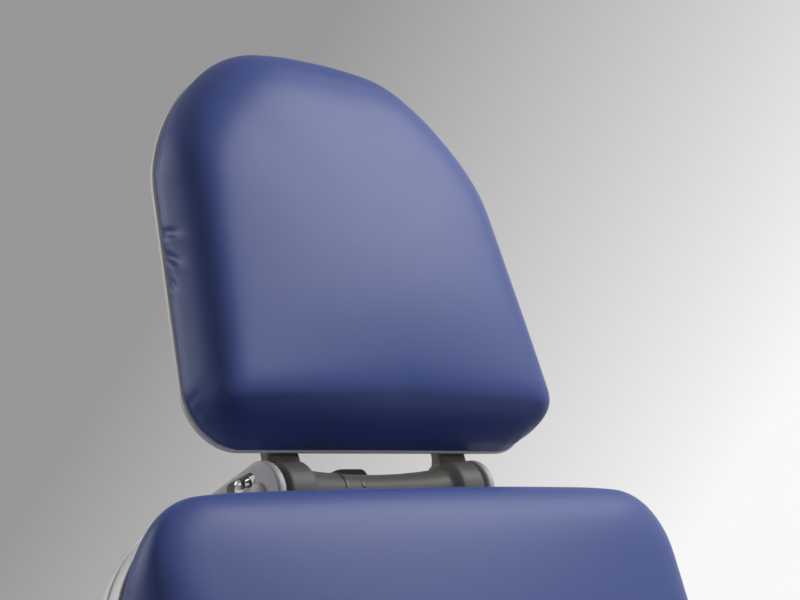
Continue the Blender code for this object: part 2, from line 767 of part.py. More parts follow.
def build_column(chair, middle, inner, finish):
    """Three nested column tubes, their glides and the telescopic actuator inside."""
    low = PLATE_TOP + GAP
    middle_side = COLUMN_SIDE - 2 * (COLUMN_WALL + COLUMN_STEP)
    inner_side = middle_side - 2 * (COLUMN_WALL + COLUMN_STEP)
    middle_top = COLUMN_TOP + STAGE_RISE
    add("column_outer", column_tube(COLUMN_SIDE, low, COLUMN_TOP), chair, finish["white"])
    add("column_middle", column_tube(middle_side, low + STAGE_FOOT, middle_top), middle, finish["zinc"])
    add("column_inner", column_tube(inner_side, low + 2 * STAGE_FOOT, INNER_TOP), inner, finish["zinc"])
    outer_glide = glide_ring(COLUMN_SIDE - 2 * COLUMN_WALL, middle_side, COLUMN_SIDE, COLUMN_TOP)
    add("outer_glide", outer_glide, chair, finish["dark"])
    middle_glide = glide_ring(middle_side - 2 * COLUMN_WALL, inner_side, middle_side, middle_top)
    add("middle_glide", middle_glide, middle, finish["dark"])
    body_top = COLUMN_TOP - ACTUATOR_TOP_DROP
    motor_top = low + ACTUATOR_MOTOR
    bore = LIFT_TUBE_RADIUS + 2 * RUN_GAP
    actuator = [(low, ACTUATOR_MOTOR_RADIUS), (motor_top, ACTUATOR_MOTOR_RADIUS),
                (motor_top + ACTUATOR_NECK, ACTUATOR_RADIUS), (body_top, ACTUATOR_RADIUS),
                (body_top, bore), (low + ACTUATOR_FLOOR, bore)]
    add("lift_actuator", turned("Z", actuator), chair, finish["dark"])
    tube_low = low + ACTUATOR_FLOOR + LIFT_END_GAP
    tube_top = body_top + LIFT_TUBE_RISE
    tube_floor = tube_low + ACTUATOR_FLOOR
    tube_bore = LIFT_ROD_RADIUS + 2 * RUN_GAP
    tube = [(tube_low, LIFT_TUBE_RADIUS), (tube_top, LIFT_TUBE_RADIUS), (tube_top, tube_bore),
            (tube_floor, tube_bore)]
    add("lift_tube", turned("Z", tube), middle, finish["zinc"])
    rod = [(tube_floor + LIFT_END_GAP, LIFT_ROD_RADIUS), (HEAD_LOW - GAP, LIFT_ROD_RADIUS)]
    add("lift_rod", turned("Z", rod), inner, finish["chrome"])
    half = SIDE_PLATE_X - GAP
    plate = block(-half, half, HEAD_PLATE_FRONT, HEAD_PLATE_REAR, HEAD_PLATE_CORNER)
    add("column_head", chamfered(plate, "Z", HEAD_LOW, HEAD_TOP, EDGE), inner, finish["steel"])


def side_plate_outline():
    """Laser-cut side plate: ears round both shafts, sloping lower edges."""
    low = FRAME_TOP - SIDE_PLATE_DROP
    front = LEG_AXIS_Y - LEG_EAR
    rear = BACK_AXIS_Y + BACK_EAR
    ear_top = BACK_AXIS_Z + BACK_EAR
    return rounded([(front, LEG_AXIS_Z - LEG_EAR_DROP, LEG_EAR_CORNER),
                    (front + SIDE_PLATE_RISE, low, SIDE_PLATE_BEND), (HEAD_PLATE_REAR, low, SIDE_PLATE_BEND),
                    (rear, BACK_AXIS_Z - BACK_EAR_DROP, BACK_EAR), (rear, ear_top, BACK_EAR_CORNER),
                    (BACK_AXIS_Y - BACK_EAR, ear_top, BACK_EAR_CORNER),
                    (BACK_AXIS_Y - BACK_EAR_BEHIND, FRAME_TOP, BACK_EAR_BEND),
                    (front, FRAME_TOP, LEG_EAR_CORNER)])


def flanged_bush(sign):
    """Bush in a side plate's bore, flange on the inner side."""
    flange = SIDE_PLATE_X - GAP
    bore = SHAFT_RADIUS + RUN_GAP
    outer = SHAFT_RADIUS + BUSH_WALL
    end = SIDE_PLATE_X + SIDE_PLATE
    stations = [(flange - BUSH_FLANGE, bore), (flange - BUSH_FLANGE, BUSH_FLANGE_RADIUS),
                (flange, BUSH_FLANGE_RADIUS), (flange, outer), (end, outer), (end, bore)]
    return [(sign * x, radius) for x, radius in stations]


def build_seat(inner, finish):
    """Side plates, bushes, board, cushion and side covers."""
    bore = SHAFT_RADIUS + BUSH_WALL + GAP
    shafts = (("back", (BACK_AXIS_Y, BACK_AXIS_Z)), ("leg", (LEG_AXIS_Y, LEG_AXIS_Z)))
    for side, sign in (("right", -1), ("left", 1)):
        near = sign * SIDE_PLATE_X
        far = sign * (SIDE_PLATE_X + SIDE_PLATE)
        plate = add(f"side_plate_{side}", prism(side_plate_outline(), "X", near, far), inner, finish["steel"])
        for name, axis in shafts:
            cut(plate, turned("X", [(near - PAST, bore), (far + PAST, bore)], axis))
            bush = turned("X", flanged_bush(sign), axis, endless=True)
            add(f"{name}_bush_{side}", bush, inner, finish["dark"])
        build_skirt(side, sign, inner, finish)
    half = SEAT_HALF - SEAT_BOARD_INSET
    board = block(-half, half, SEAT_FRONT + SEAT_BOARD_FRONT_INSET, SEAT_REAR - SEAT_BOARD_REAR_INSET,
                  SEAT_BOARD_CORNER, 5)
    add("seat_board", prism(board, "Z", BOARD_LOW, BOARD_LOW + SEAT_BOARD), inner, finish["wood"])
    outline = spaced(block(-SEAT_HALF, SEAT_HALF, SEAT_FRONT, SEAT_REAR, SEAT_CORNER, 5), SEAT_STEP)
    pad = cushion(drawn_in(outline, SEAT_DRAWN), SEAT_PAD - SEAT_CROWN, SEAT_CROWN, SEAT_ROLL, SEAT_TUCK,
                  lambda a, b, h: (a, b, BOARD_TOP + h))
    add("seat_pad", pad, inner, finish["vinyl"])


def build_skirt(side, sign, inner, finish):
    """Moulded side cover, open towards the frame, notched for the armrest bracket."""
    near = SIDE_PLATE_X + SIDE_PLATE + GAP
    far = near + SKIRT_WIDTH
    top = FRAME_TOP - SKIRT_TOP_GAP
    low = top - SKIRT_HEIGHT
    outline = rounded([(SKIRT_FRONT, low, SKIRT_LOW_CORNER), (SKIRT_REAR, low, SKIRT_LOW_CORNER),
                       (SKIRT_REAR, top, SKIRT_TOP_CORNER), (SKIRT_FRONT, top, SKIRT_TOP_CORNER)], 4)
    floor = far - SKIRT_WALL
    levels = [(depth, far - back) for depth, back in reversed(SKIRT_ROLL)] + [(0.0, near), (SKIRT_WALL, near)]
    levels += [(SKIRT_WALL + depth, floor - back) for depth, back in SKIRT_HOLLOW_ROLL]
    rings = [[(sign * x, y, z) for y, z in inset(outline, depth)] for depth, x in levels]
    cover = add(f"seat_skirt_{side}", loft(rings), inner, finish["white"])
    half = ARM_BAR_WIDTH / 2 + SKIRT_NOTCH_GAP
    notch = block(ARM_BRACKET_Y - half, ARM_BRACKET_Y + half, low - PAST,
                  ARM_BRACKET_LOW + ARM_BAR + SKIRT_NOTCH_GAP, BAR_CORNER)
    cut(cover, prism(notch, "X", sign * (near - PAST), sign * (far + PAST)))


def crank_shaft(name, parent, length, rest_angle, frame_turn, finish):
    """Torsion shaft with its welded crank, hanging at rest_angle from straight down."""
    end = SIDE_PLATE_X + SIDE_PLATE + SHAFT_END
    shaft = add(name, turned("X", [(-end, SHAFT_RADIUS), (end, SHAFT_RADIUS)]), parent, finish)
    hang = Vector((0.0, -math.sin(rest_angle), -math.cos(rest_angle))) * length
    tip = Matrix.Rotation(-frame_turn, 3, "X") @ hang
    lever = link((0.0, 0.0), (tip.y, tip.z), CRANK_HUB_RADIUS, CRANK_TIP_RADIUS)
    fuse(shaft, prism(lever, "X", -CRANK_PLATE / 2, CRANK_PLATE / 2))
    pin = [(-CRANK_PIN / 2, CRANK_PIN_RADIUS), (CRANK_PIN / 2, CRANK_PIN_RADIUS)]
    fuse(shaft, turned("X", pin, (tip.y, tip.z)))


def build_drive(inner, back_push, leg_push, finish):
    """Twin drive on the column head: each slider pushes the pin of one crank."""
    low = HEAD_TOP + GAP
    case = block(-DRIVE_HALF, DRIVE_HALF, low, low + DRIVE_HEIGHT, DRIVE_CORNER)
    shape = chamfered(case, "Y", DRIVE_FRONT, DRIVE_REAR, DRIVE_EDGE)
    housing = add("twin_drive", shape, inner, finish["dark"])
    motor_z = low + MOTOR_RADIUS + MOTOR_RISE
    for x, start in ((-MOTOR_OFFSET, DRIVE_FRONT + MOTOR_INSET),
                     (MOTOR_OFFSET, DRIVE_REAR - MOTOR_INSET - MOTOR_LENGTH)):
        end = start + MOTOR_LENGTH
        can = [(start, MOTOR_RADIUS - MOTOR_EDGE), (start + MOTOR_EDGE, MOTOR_RADIUS),
               (end - MOTOR_EDGE, MOTOR_RADIUS), (end, MOTOR_RADIUS - MOTOR_EDGE)]
        fuse(housing, turned("Y", can, (x, motor_z)))
    back_pin = BACK_AXIS_Y - BACK_CRANK * math.sin(BACK_CRANK_REST)
    leg_pin = LEG_AXIS_Y - LEG_CRANK * math.sin(LEG_CRANK_REST)
    back_face = back_pin - CRANK_PIN_RADIUS - BACK_PUSH_GAP
    leg_face = leg_pin + CRANK_PIN_RADIUS + LEG_PUSH_GAP
    back_low = low + BACK_SLIDER_RISE
    leg_low = low + LEG_SLIDER_RISE
    build_slider("back_slider", back_push, back_face, -1, back_low, BACK_SLIDER_LENGTH,
                 BACK_SLIDER_HEAD_HEIGHT, finish)
    build_slider("leg_slider", leg_push, leg_face, 1, leg_low, LEG_SLIDER_LENGTH, LEG_SLIDER_HEAD_HEIGHT,
                 finish)
    half = SLIDER_HALF + RUN_GAP
    back_end = back_face - BACK_SLIDER_LENGTH - BACK_SLIDER_ROOM
    leg_end = leg_face + LEG_SLIDER_LENGTH + LEG_SLIDER_ROOM
    channels = ((back_low, DRIVE_REAR + PAST, back_end), (leg_low, DRIVE_FRONT - PAST, leg_end))
    for bottom, mouth, end in channels:
        channel = block(-half, half, bottom - RUN_GAP, bottom + SLIDER_HEIGHT + RUN_GAP, BAR_CORNER)
        cut(housing, prism(channel, "Y", mouth, end))


def build_slider(name, parent, face, inward, bottom, length, head_height, finish):
    """Drive slider: a bar with a taller head, forked for the crank's plate."""
    bar = block(-SLIDER_HALF, SLIDER_HALF, bottom, bottom + SLIDER_HEIGHT, BAR_CORNER)
    start = face + inward * SLIDER_HEAD / 2
    slider = add(name, prism(bar, "Y", start, face + inward * length), parent, finish["zinc"])
    head = block(-SLIDER_HEAD_HALF, SLIDER_HEAD_HALF, bottom, bottom + head_height, BAR_CORNER)
    fuse(slider, prism(head, "Y", face, face + inward * SLIDER_HEAD))
    throat = CRANK_PLATE / 2 + SLIDER_FORK_GAP
    fork = block(-throat, throat, bottom - PAST, bottom + head_height + PAST)
    cut(slider, prism(fork, "Y", face - inward * PAST, face + inward * SLIDER_FORK))


def back_outline(grow, low=BACK_PAD_LOW, dip=0.0, step=SHELL_STEP):
    """Backrest outline grown or shrunk all round, with a dip in the top edge for the hinge."""
    base = panel(low, BACK_PAD_TOP, BACK_HALF_LOW, BACK_HALF_TOP, BACK_LOW_CORNER, BACK_CORNER,
                 BACK_TOP_CROWN, step)
    dipped = []
    for a, b in inset(base, -grow):
        ease = max(0.0, min(1.0, (SHELL_DIP_HALF + SHELL_DIP_EASE - abs(a)) / SHELL_DIP_EASE))
        if b > BACK_PAD_TOP - BACK_CORNER:
            b -= dip * ease * ease * (3 - 2 * ease)
        dipped.append((a, b))
    return dipped


def build_back(back, finish):
    """Torsion shaft, frame tubes, board, cushion and back shell."""
    crank_shaft("back_shaft", back, BACK_CRANK, BACK_CRANK_REST, -RECLINE, finish["steel"])
    rear = TUBE_FRONT + BACK_TUBE
    half = BACK_TUBE / 2
    for side, sign in (("right", -1), ("left", 1)):
        x = sign * BACK_TUBE_X
        outer = block(x - half, x + half, TUBE_FRONT, rear, BACK_TUBE_CORNER)
        tube = pipe(outer, inset(outer, BACK_TUBE_WALL), "Z", BACK_TUBE_LOW, BACK_PAD_TOP - BACK_TUBE_DROP)
        add(f"back_tube_{side}", tube, back, finish["steel"])
    bar = block(TUBE_FRONT, rear, CROSS_BAR_Z - half, CROSS_BAR_Z + half, BACK_TUBE_CORNER)
    reach = BACK_TUBE_X - half - GAP
    add("back_cross_bar", pipe(bar, inset(bar, BACK_TUBE_WALL), "X", -reach, reach), back, finish["steel"])
    board = back_outline(-BACK_BOARD_INSET, BACK_BOARD_LOW - BACK_BOARD_INSET, BACK_BOARD_DIP)
    shape = prism(board, "Y", BACK_BOARD_FRONT, BACK_BOARD_FRONT + BACK_BOARD)
    add("back_board", shape, back, finish["wood"])
    outline = drawn_in(back_outline(0.0, step=BACK_STEP), BACK_DRAWN)
    pad = cushion(outline, BACK_PAD - BACK_FACE_CROWN, BACK_FACE_CROWN, BACK_ROLL, BACK_TUCK,
                  lambda a, b, h: (a, PAD_REAR - h, b))
    add("back_pad", pad, back, finish["vinyl"])
    build_shell(back, finish)


def build_shell(back, finish):
    """Moulded back shell: a shallow tray with a grooved rim and a dipped top edge, notched for the tubes."""
    groove = SHELL_START + SHELL_GROOVE_AT
    half = SHELL_GROOVE_WIDTH / 2
    floor = SHELL_REAR - SHELL_WALL
    levels = [(depth, SHELL_REAR - ahead) for depth, ahead in SHELL_ROLL]
    levels += [(0.0, groove + half), (SHELL_GROOVE, groove), (0.0, groove - half), (0.0, SHELL_START),
               (SHELL_WALL, SHELL_START)]
    levels += [(SHELL_WALL + depth, floor - ahead) for depth, ahead in SHELL_HOLLOW_ROLL]
    rings = []
    for depth, y in levels:
        edge = back_outline(SHELL_LIP - depth, SHELL_LOW + SHELL_LIP, SHELL_DIP)
        rings.append([(a, y, b) for a, b in edge])
    shell = add("back_shell", loft(rings), back, finish["white"])
    half = BACK_TUBE_X + BACK_TUBE
    foot = block(-half, half, SHELL_LOW - PAST, SHELL_LOW + SHELL_FOOT_NOTCH, SHELL_FOOT_CORNER)
    cut(shell, prism(foot, "Y", SHELL_START - PAST, SHELL_REAR + PAST))
    hole = boss_outline(SHELL_HOLE_GAP)
    cut(shell, prism(hole, "Y", SHELL_REAR - SHELL_ROLL[-1][1], SHELL_REAR + PAST))


def boss_outline(grow):
    """Boss that carries the mast guide on the cross bar, grown all round."""
    half = GUIDE_BOSS_HALF + grow
    rise = BACK_TUBE / 2 + grow
    return block(-half, half, CROSS_BAR_Z - rise, CROSS_BAR_Z + rise, BAR_CORNER)


def build_mast(back, mast, finish):
    """Mast guide on the backrest, mast bar, fork, lock block and hinge axle."""
    top = CROSS_BAR_Z + GUIDE_RISE
    front = SHELL_REAR + GAP
    rear = MAST_FRONT + MAST + GUIDE_WALL
    case = block(-GUIDE_HALF, GUIDE_HALF, front, rear, GUIDE_CORNER)
    guide = add("mast_guide", chamfered(case, "Z", top - GUIDE_LENGTH, top, SOFT_EDGE), back, finish["dark"])
    fuse(guide, prism(boss_outline(0.0), "Y", TUBE_FRONT + BACK_TUBE + GAP, front + GUIDE_BOSS_SINK))
    half = MAST_HALF + RUN_GAP
    channel = block(-half, half, MAST_FRONT - RUN_GAP, MAST_FRONT + MAST + RUN_GAP, SOFT_EDGE)
    cut(guide, prism(channel, "Z", top - GUIDE_LENGTH - PAST, top + PAST))
    bar_front = MAST_FRONT - PIVOT_Y
    bar_top = FORK_REAR_LOW - GAP
    bar = block(-MAST_HALF, MAST_HALF, bar_front, bar_front + MAST, SOFT_EDGE)
    add("headrest_mast", chamfered(bar, "Z", bar_top - MAST_LENGTH, bar_top, EDGE), mast, finish["chrome"])
    build_fork(mast, finish)
    lock = rounded([(-LOCK_HALF_LOW, FORK_REAR_LOW, LOCK_CORNER), (LOCK_HALF_LOW, FORK_REAR_LOW, LOCK_CORNER),
                    (LOCK_HALF_TOP, LOCK_TOP, LOCK_CORNER), (-LOCK_HALF_TOP, LOCK_TOP, LOCK_CORNER)])
    shape = chamfered(lock, "Y", BAR_RADIUS + LOCK_GAP, FORK_REAR - FORK_CROSS - GAP, EDGE)
    add("lock_block", shape, mast, finish["cast"])
    end = FORK_OUTER + GAP
    head = end + AXLE_HEAD
    half_axle = [(end, AXLE_RADIUS), (end, AXLE_HEAD_RADIUS), (head - EDGE, AXLE_HEAD_RADIUS),
                 (head, AXLE_HEAD_RADIUS - EDGE)]
    stations = [(-x, radius) for x, radius in reversed(half_axle)] + half_axle
    add("hinge_axle", turned("X", stations), mast, finish["cast"])


def build_fork(mast, finish):
    """Cast fork: a U seen from above, trimmed to the arms' side profile."""
    cross = FORK_REAR - FORK_CROSS
    front = -HUB_RADIUS - PAST
    plan = rounded([(-FORK_OUTER, front, 0), (-FORK_INNER, front, 0), (-FORK_INNER, cross, FORK_INNER_CORNER),
                    (FORK_INNER, cross, FORK_INNER_CORNER), (FORK_INNER, front, 0), (FORK_OUTER, front, 0),
                    (FORK_OUTER, FORK_REAR, FORK_OUTER_CORNER), (-FORK_OUTER, FORK_REAR, FORK_OUTER_CORNER)])
    fork = add("mast_head", prism(plan, "Z", -2 * HUB_RADIUS, 2 * HUB_RADIUS), mast, finish["cast"])
    turns = [math.pi / 2 + math.pi * k / FORK_NOSE_STEPS for k in range(FORK_NOSE_STEPS + 1)]
    nose = [(HUB_RADIUS * math.cos(turn), HUB_RADIUS * math.sin(turn)) for turn in turns]
    profile = nose + [(cross, FORK_REAR_LOW), (FORK_REAR, FORK_REAR_LOW), (FORK_REAR, FORK_REAR_TOP)]
    past = FORK_OUTER + PAST
    combine(fork, prism(profile, "X", -past, past), "INTERSECT")
    bore = AXLE_RADIUS + GAP
    cut(fork, turned("X", [(-past, bore), (past, bore)]))
    cut(fork, prism(release_slot(RELEASE_RADIUS), "X", -past, -FORK_INNER + PAST))
    seat = FORK_INNER + RELEASE_WASHER + 2 * RUN_GAP
    cut(fork, prism(release_slot(RELEASE_HEAD_RADIUS), "X", -seat, -FORK_INNER + PAST))


def release_slot(radius):
    """Slot in the fork's right arm for a round of that radius, over the release pin's whole travel."""
    half = RELEASE_SLOT / 2 - RELEASE_RADIUS - GAP
    run = radius + RUN_GAP
    return link((RELEASE_Y - half, RELEASE_Z), (RELEASE_Y + half, RELEASE_Z), run, run)


def build_release(release, finish):
    """Chrome pin through the slot of the right fork arm, with its washer sunk in the arm's inner face."""
    shoulder = FORK_OUTER + RUN_GAP
    head = FORK_OUTER + RELEASE_HEAD
    washer = FORK_INNER + RUN_GAP
    stations = [(-head, RELEASE_HEAD_RADIUS - EDGE), (-head + EDGE, RELEASE_HEAD_RADIUS),
                (-shoulder, RELEASE_HEAD_RADIUS), (-shoulder, RELEASE_RADIUS),
                (-washer - RELEASE_WASHER, RELEASE_RADIUS), (-washer - RELEASE_WASHER, RELEASE_HEAD_RADIUS),
                (-washer, RELEASE_HEAD_RADIUS)]
    add("release_pin", turned("X", stations), release, finish["chrome"])


def build_headrest(head, finish):
    """Hinge yoke, back board and cushion, about the hinge axis."""
    half_bar = [(HUB_INNER - HUB_NECK, BAR_RADIUS), (HUB_INNER, HUB_RADIUS), (HUB_OUTER - EDGE, HUB_RADIUS),
                (HUB_OUTER, HUB_RADIUS - EDGE)]
    stations = [(-x, radius) for x, radius in reversed(half_bar)] + half_bar
    yoke = add("headrest_yoke", turned("X", stations, count=24), head, finish["cast"])
    board_rear = -PIVOT_BEHIND
    front = board_rear + GAP
    half = UPRIGHT_WIDTH / 2
    top_half = UPRIGHT_TOP_WIDTH / 2
    for x in (-UPRIGHT_X, UPRIGHT_X):
        upright = rounded([(x - half, 0.0, 0), (x + half, 0.0, 0),
                           (x + top_half, UPRIGHT_HEIGHT, UPRIGHT_CORNER),
                           (x - top_half, UPRIGHT_HEIGHT, UPRIGHT_CORNER)])
        fuse(yoke, prism(upright, "Y", front, front + UPRIGHT_DEPTH))
    bore = AXLE_RADIUS + RUN_GAP
    cut(yoke, turned("X", [(-HUB_OUTER - PAST, bore), (HUB_OUTER + PAST, bore)]))
    outline = panel(PIVOT_DROP, PIVOT_DROP + HEAD_HEIGHT, HEAD_HALF_LOW, HEAD_HALF_TOP, HEAD_LOW_CORNER,
                    HEAD_TOP_CORNER, HEAD_TOP_CROWN, HEAD_STEP)
    board = chamfered(outline, "Y", board_rear - HEAD_BOARD, board_rear, HEAD_BOARD_EDGE)
    add("headrest_board", board, head, finish["pale"])
    pad_back = board_rear - HEAD_BOARD - GAP
    hem = drawn_in(inset(outline, HEAD_PAD_INSET), HEAD_DRAWN)
    pad = cushion(hem, HEAD_PAD - HEAD_FACE_CROWN, HEAD_FACE_CROWN, HEAD_ROLL, HEAD_TUCK,
                  lambda a, b, h: (a, pad_back - h, b))
    add("headrest_pad", pad, head, finish["vinyl"])


def build_legrest(leg, finish):
    """Legrest about its shaft: -y runs along the leg and z is its upper side."""
    crank_shaft("leg_shaft", leg, LEG_CRANK, LEG_CRANK_REST, LEG_DROP, finish["steel"])
    board_top = LEG_AXIS_DROP - LEG_PAD - GAP
    board_low = board_top - LEG_BOARD
    arm_top = board_low - GAP
    arm = rounded([(LEG_ARM_HUB, LEG_ARM_LOW, LEG_ARM_HUB_CORNER),
                   (LEG_ARM_HUB, LEG_ARM_THROAT, LEG_ARM_HUB_CORNER),
                   (-LEG_ARM_STEP + LEG_ARM_SLOPE, LEG_ARM_THROAT, LEG_ARM_BEND),
                   (-LEG_ARM_STEP - LEG_ARM_SLOPE, arm_top, LEG_ARM_TIP_CORNER),
                   (-LEG_ARM_END, arm_top, LEG_ARM_TIP_CORNER),
                   (-LEG_ARM_END, arm_top - LEG_ARM_TIP, LEG_ARM_TIP_CORNER),
                   (-LEG_ARM_STEP - LEG_ARM_BELLY, LEG_ARM_LOW + LEG_ARM_BELLY_RISE, LEG_ARM_HEEL),
                   (-LEG_ARM_STEP + LEG_ARM_HEEL, LEG_ARM_LOW, LEG_ARM_HEEL)])
    bore = SHAFT_RADIUS + GAP
    for side, sign in (("right", -1), ("left", 1)):
        near = sign * LEG_ARM_X
        far = sign * (LEG_ARM_X + LEG_ARM)
        plate = add(f"leg_arm_{side}", prism(arm, "X", near, far), leg, finish["steel"])
        cut(plate, turned("X", [(near - PAST, bore), (far + PAST, bore)]))
    half = LEG_HALF - LEG_BOARD_INSET
    board = block(-half, half, -LEG_PAD_END + LEG_BOARD_INSET, -LEG_PAD_START - LEG_BOARD_TOP_INSET,
                  LEG_BOARD_CORNER, 5)
    add("leg_board", prism(board, "Z", board_low, board_top), leg, finish["wood"])
    corners = [(-LEG_HALF, -LEG_PAD_END, LEG_CORNER), (LEG_HALF, -LEG_PAD_END, LEG_CORNER),
               (LEG_HALF, -LEG_PAD_START, LEG_TOP_CORNER), (-LEG_HALF, -LEG_PAD_START, LEG_TOP_CORNER)]
    outline = drawn_in(spaced(rounded(corners, 4), LEG_STEP), LEG_DRAWN)
    pad = cushion(outline, LEG_PAD - LEG_CROWN, LEG_CROWN, LEG_ROLL, LEG_TUCK,
                  lambda a, b, h: (a, b, board_top + GAP + h))
    add("leg_pad", pad, leg, finish["vinyl"])


def build_armrest(side, sign, inner, finish):
    """Bent bracket on the side plate, swing-up support with its pivot stud, and cushion."""
    near = SIDE_PLATE_X + SIDE_PLATE + GAP
    outer = ARM_X + ARM_BAR
    foot = ARM_BRACKET_LOW + ARM_BAR
    bent = rounded([(near, ARM_BRACKET_LOW, 0), (outer, ARM_BRACKET_LOW, ARM_BRACKET_BEND),
                    (outer, ARM_BRACKET_TOP, ARM_BRACKET_CORNER),
                    (ARM_X, ARM_BRACKET_TOP, ARM_BRACKET_CORNER),
                    (ARM_X, foot, ARM_BRACKET_INNER_BEND), (near, foot, 0)], 5)
    shape = prism([(sign * a, b) for a, b in bent], "Y", ARM_BRACKET_Y - ARM_BAR_WIDTH / 2,
                  ARM_BRACKET_Y + ARM_BAR_WIDTH / 2)
    bracket = add(f"arm_bracket_{side}", shape, inner, finish["grey"])
    bore = ARM_PIN_RADIUS + RUN_GAP
    hole = [(sign * (ARM_X - PAST), bore), (sign * (outer + PAST), bore)]
    cut(bracket, turned("X", hole, (ARM_BRACKET_Y, ARM_AXIS_Z)))
    axis = frame(f"arm_axis_{side}", inner, (0.0, ARM_BRACKET_Y, ARM_AXIS_Z))
    start = outer + RUN_GAP
    end = start + ARM_SUPPORT
    lever = link((0.0, 0.0), (-ARM_REACH, ARM_TOP - ARM_TIP_RADIUS - EDGE), ARM_HUB_RADIUS, ARM_TIP_RADIUS)
    support = add(f"arm_support_{side}", prism(lever, "X", sign * start, sign * end), axis, finish["grey"])
    middle = sign * (start + ARM_SUPPORT / 2)
    flange = block(middle - ARM_FLANGE_HALF, middle + ARM_FLANGE_HALF, -ARM_REACH + ARM_FLANGE_FRONT,
                   -ARM_FLANGE_REAR, ARM_FLANGE_CORNER)
    fuse(support, prism(flange, "Z", ARM_TOP - ARM_FLANGE, ARM_TOP))
    inside = ARM_X - RUN_GAP
    pin = [(inside - ARM_PIN_HEAD, ARM_PIN_HEAD_RADIUS), (inside, ARM_PIN_HEAD_RADIUS),
           (inside, ARM_PIN_RADIUS), (end, ARM_PIN_RADIUS), (end, ARM_PIN_HEAD_RADIUS),
           (end + ARM_PIN_HEAD, ARM_PIN_HEAD_RADIUS)]
    fuse(support, turned("X", [(sign * x, radius) for x, radius in pin]))
    mid = sign * (ARM_X + ARM_PAD_OUT)
    front = ARM_PAD_REAR - ARM_PAD_LENGTH
    outline = block(-ARM_PAD_HALF, ARM_PAD_HALF, front, ARM_PAD_REAR, ARM_PAD_CORNER, 4)
    pad = cushion(spaced(outline, ARM_STEP), ARM_PAD - ARM_PAD_CROWN, ARM_PAD_CROWN, ARM_PAD_ROLL,
                  ARM_PAD_TUCK, lambda a, b, h: (mid + a, b, ARM_TOP + GAP + h))
    add(f"arm_pad_{side}", pad, axis, finish["vinyl"])


def centre(chair):
    """Move the chair so that its box is centred over the origin."""
    bpy.context.view_layer.update()
    depths = []
    for part in bpy.data.objects:
        if part.type == "MESH":
            depths += [(part.matrix_world @ corner.co).y for corner in part.data.vertices]
    chair.location.y -= (min(depths) + max(depths)) / 2
    bpy.context.view_layer.update()


def build():
    for old in list(bpy.data.objects):
        bpy.data.objects.remove(old)
    finish = {
        "vinyl": material("blue_vinyl", (0.085, 0.105, 0.300), 0.45),
        "white": material("white_moulding", (0.80, 0.80, 0.80), 0.40),
        "pale": material("pale_board", (0.62, 0.61, 0.60), 0.50),
        "cast": material("grey_casting", (0.36, 0.35, 0.36), 0.45),
        "grey": material("grey_enamel", (0.42, 0.42, 0.43), 0.40),
        "steel": material("dark_enamel", (0.16, 0.16, 0.17), 0.45),
        "zinc": material("zinc_steel", (0.62, 0.62, 0.63), 0.35, 1.0),
        "chrome": material("chrome", (0.80, 0.80, 0.81), 0.12, 1.0),
        "dark": material("black_moulding", (0.045, 0.045, 0.048), 0.50),
        "rubber": material("black_rubber", (0.030, 0.030, 0.032), 0.80),
        "wood": material("plywood", (0.52, 0.38, 0.24), 0.60),
    }
    chair = frame("chair", None, (0.0, 0.0, 0.0))
    middle = frame("lift_middle_axis", chair, (0.0, 0.0, 0.0))
    inner = frame("lift_inner_axis", middle, (0.0, 0.0, 0.0))
    back = frame("back_axis", inner, (0.0, BACK_AXIS_Y, BACK_AXIS_Z), -RECLINE)
    mast = frame("mast_axis", back, (0.0, PIVOT_Y, PIVOT_Z))
    release = frame("release_axis", mast, (0.0, RELEASE_Y, RELEASE_Z))
    head = frame("headrest_axis", mast, (0.0, 0.0, 0.0))
    leg = frame("leg_axis", inner, (0.0, LEG_AXIS_Y, LEG_AXIS_Z), LEG_DROP)
    back_push = frame("back_slider_axis", inner, (0.0, 0.0, 0.0))
    leg_push = frame("leg_slider_axis", inner, (0.0, 0.0, 0.0))
    build_base(chair, finish)
    build_pedals(chair, finish)
    build_column(chair, middle, inner, finish)
    build_seat(inner, finish)
    build_drive(inner, back_push, leg_push, finish)
    build_back(back, finish)
    build_mast(back, mast, finish)
    build_release(release, finish)
    build_headrest(head, finish)
    build_legrest(leg, finish)
    build_armrest("right", -1, inner, finish)
    build_armrest("left", 1, inner, finish)
    centre(chair)


build()
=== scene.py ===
"""Looks of a powered procedure chair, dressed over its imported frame.

Metres, +Z up. The chair faces -Y and +X is the patient's left. Cushions, shells and castings are
surfaces worked out with numpy in the directions of the group that carries them.
"""
import json
import math

import bmesh
import bpy
import numpy as np
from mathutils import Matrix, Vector


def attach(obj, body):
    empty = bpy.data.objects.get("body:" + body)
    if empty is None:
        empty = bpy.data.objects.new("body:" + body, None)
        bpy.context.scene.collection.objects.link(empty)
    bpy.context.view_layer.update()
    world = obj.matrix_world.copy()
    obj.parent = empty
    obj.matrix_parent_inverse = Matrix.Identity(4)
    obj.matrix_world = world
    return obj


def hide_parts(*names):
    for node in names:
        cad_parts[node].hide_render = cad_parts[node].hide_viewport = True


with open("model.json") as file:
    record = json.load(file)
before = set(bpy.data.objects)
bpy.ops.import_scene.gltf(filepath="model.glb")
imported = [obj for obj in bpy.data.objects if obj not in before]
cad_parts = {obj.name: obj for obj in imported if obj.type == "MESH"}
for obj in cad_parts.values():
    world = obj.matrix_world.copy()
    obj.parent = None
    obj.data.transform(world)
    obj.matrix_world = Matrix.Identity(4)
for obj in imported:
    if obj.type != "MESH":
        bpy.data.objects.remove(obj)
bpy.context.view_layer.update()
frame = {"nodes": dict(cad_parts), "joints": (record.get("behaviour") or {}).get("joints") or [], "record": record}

JOINTS = {joint["name"]: joint for joint in frame["joints"]}
ACROSS = np.array((1.0, 0.0, 0.0))
UP = np.array(JOINTS["headrest_height"]["axis"], float)
REAR = np.cross(UP, ACROSS)

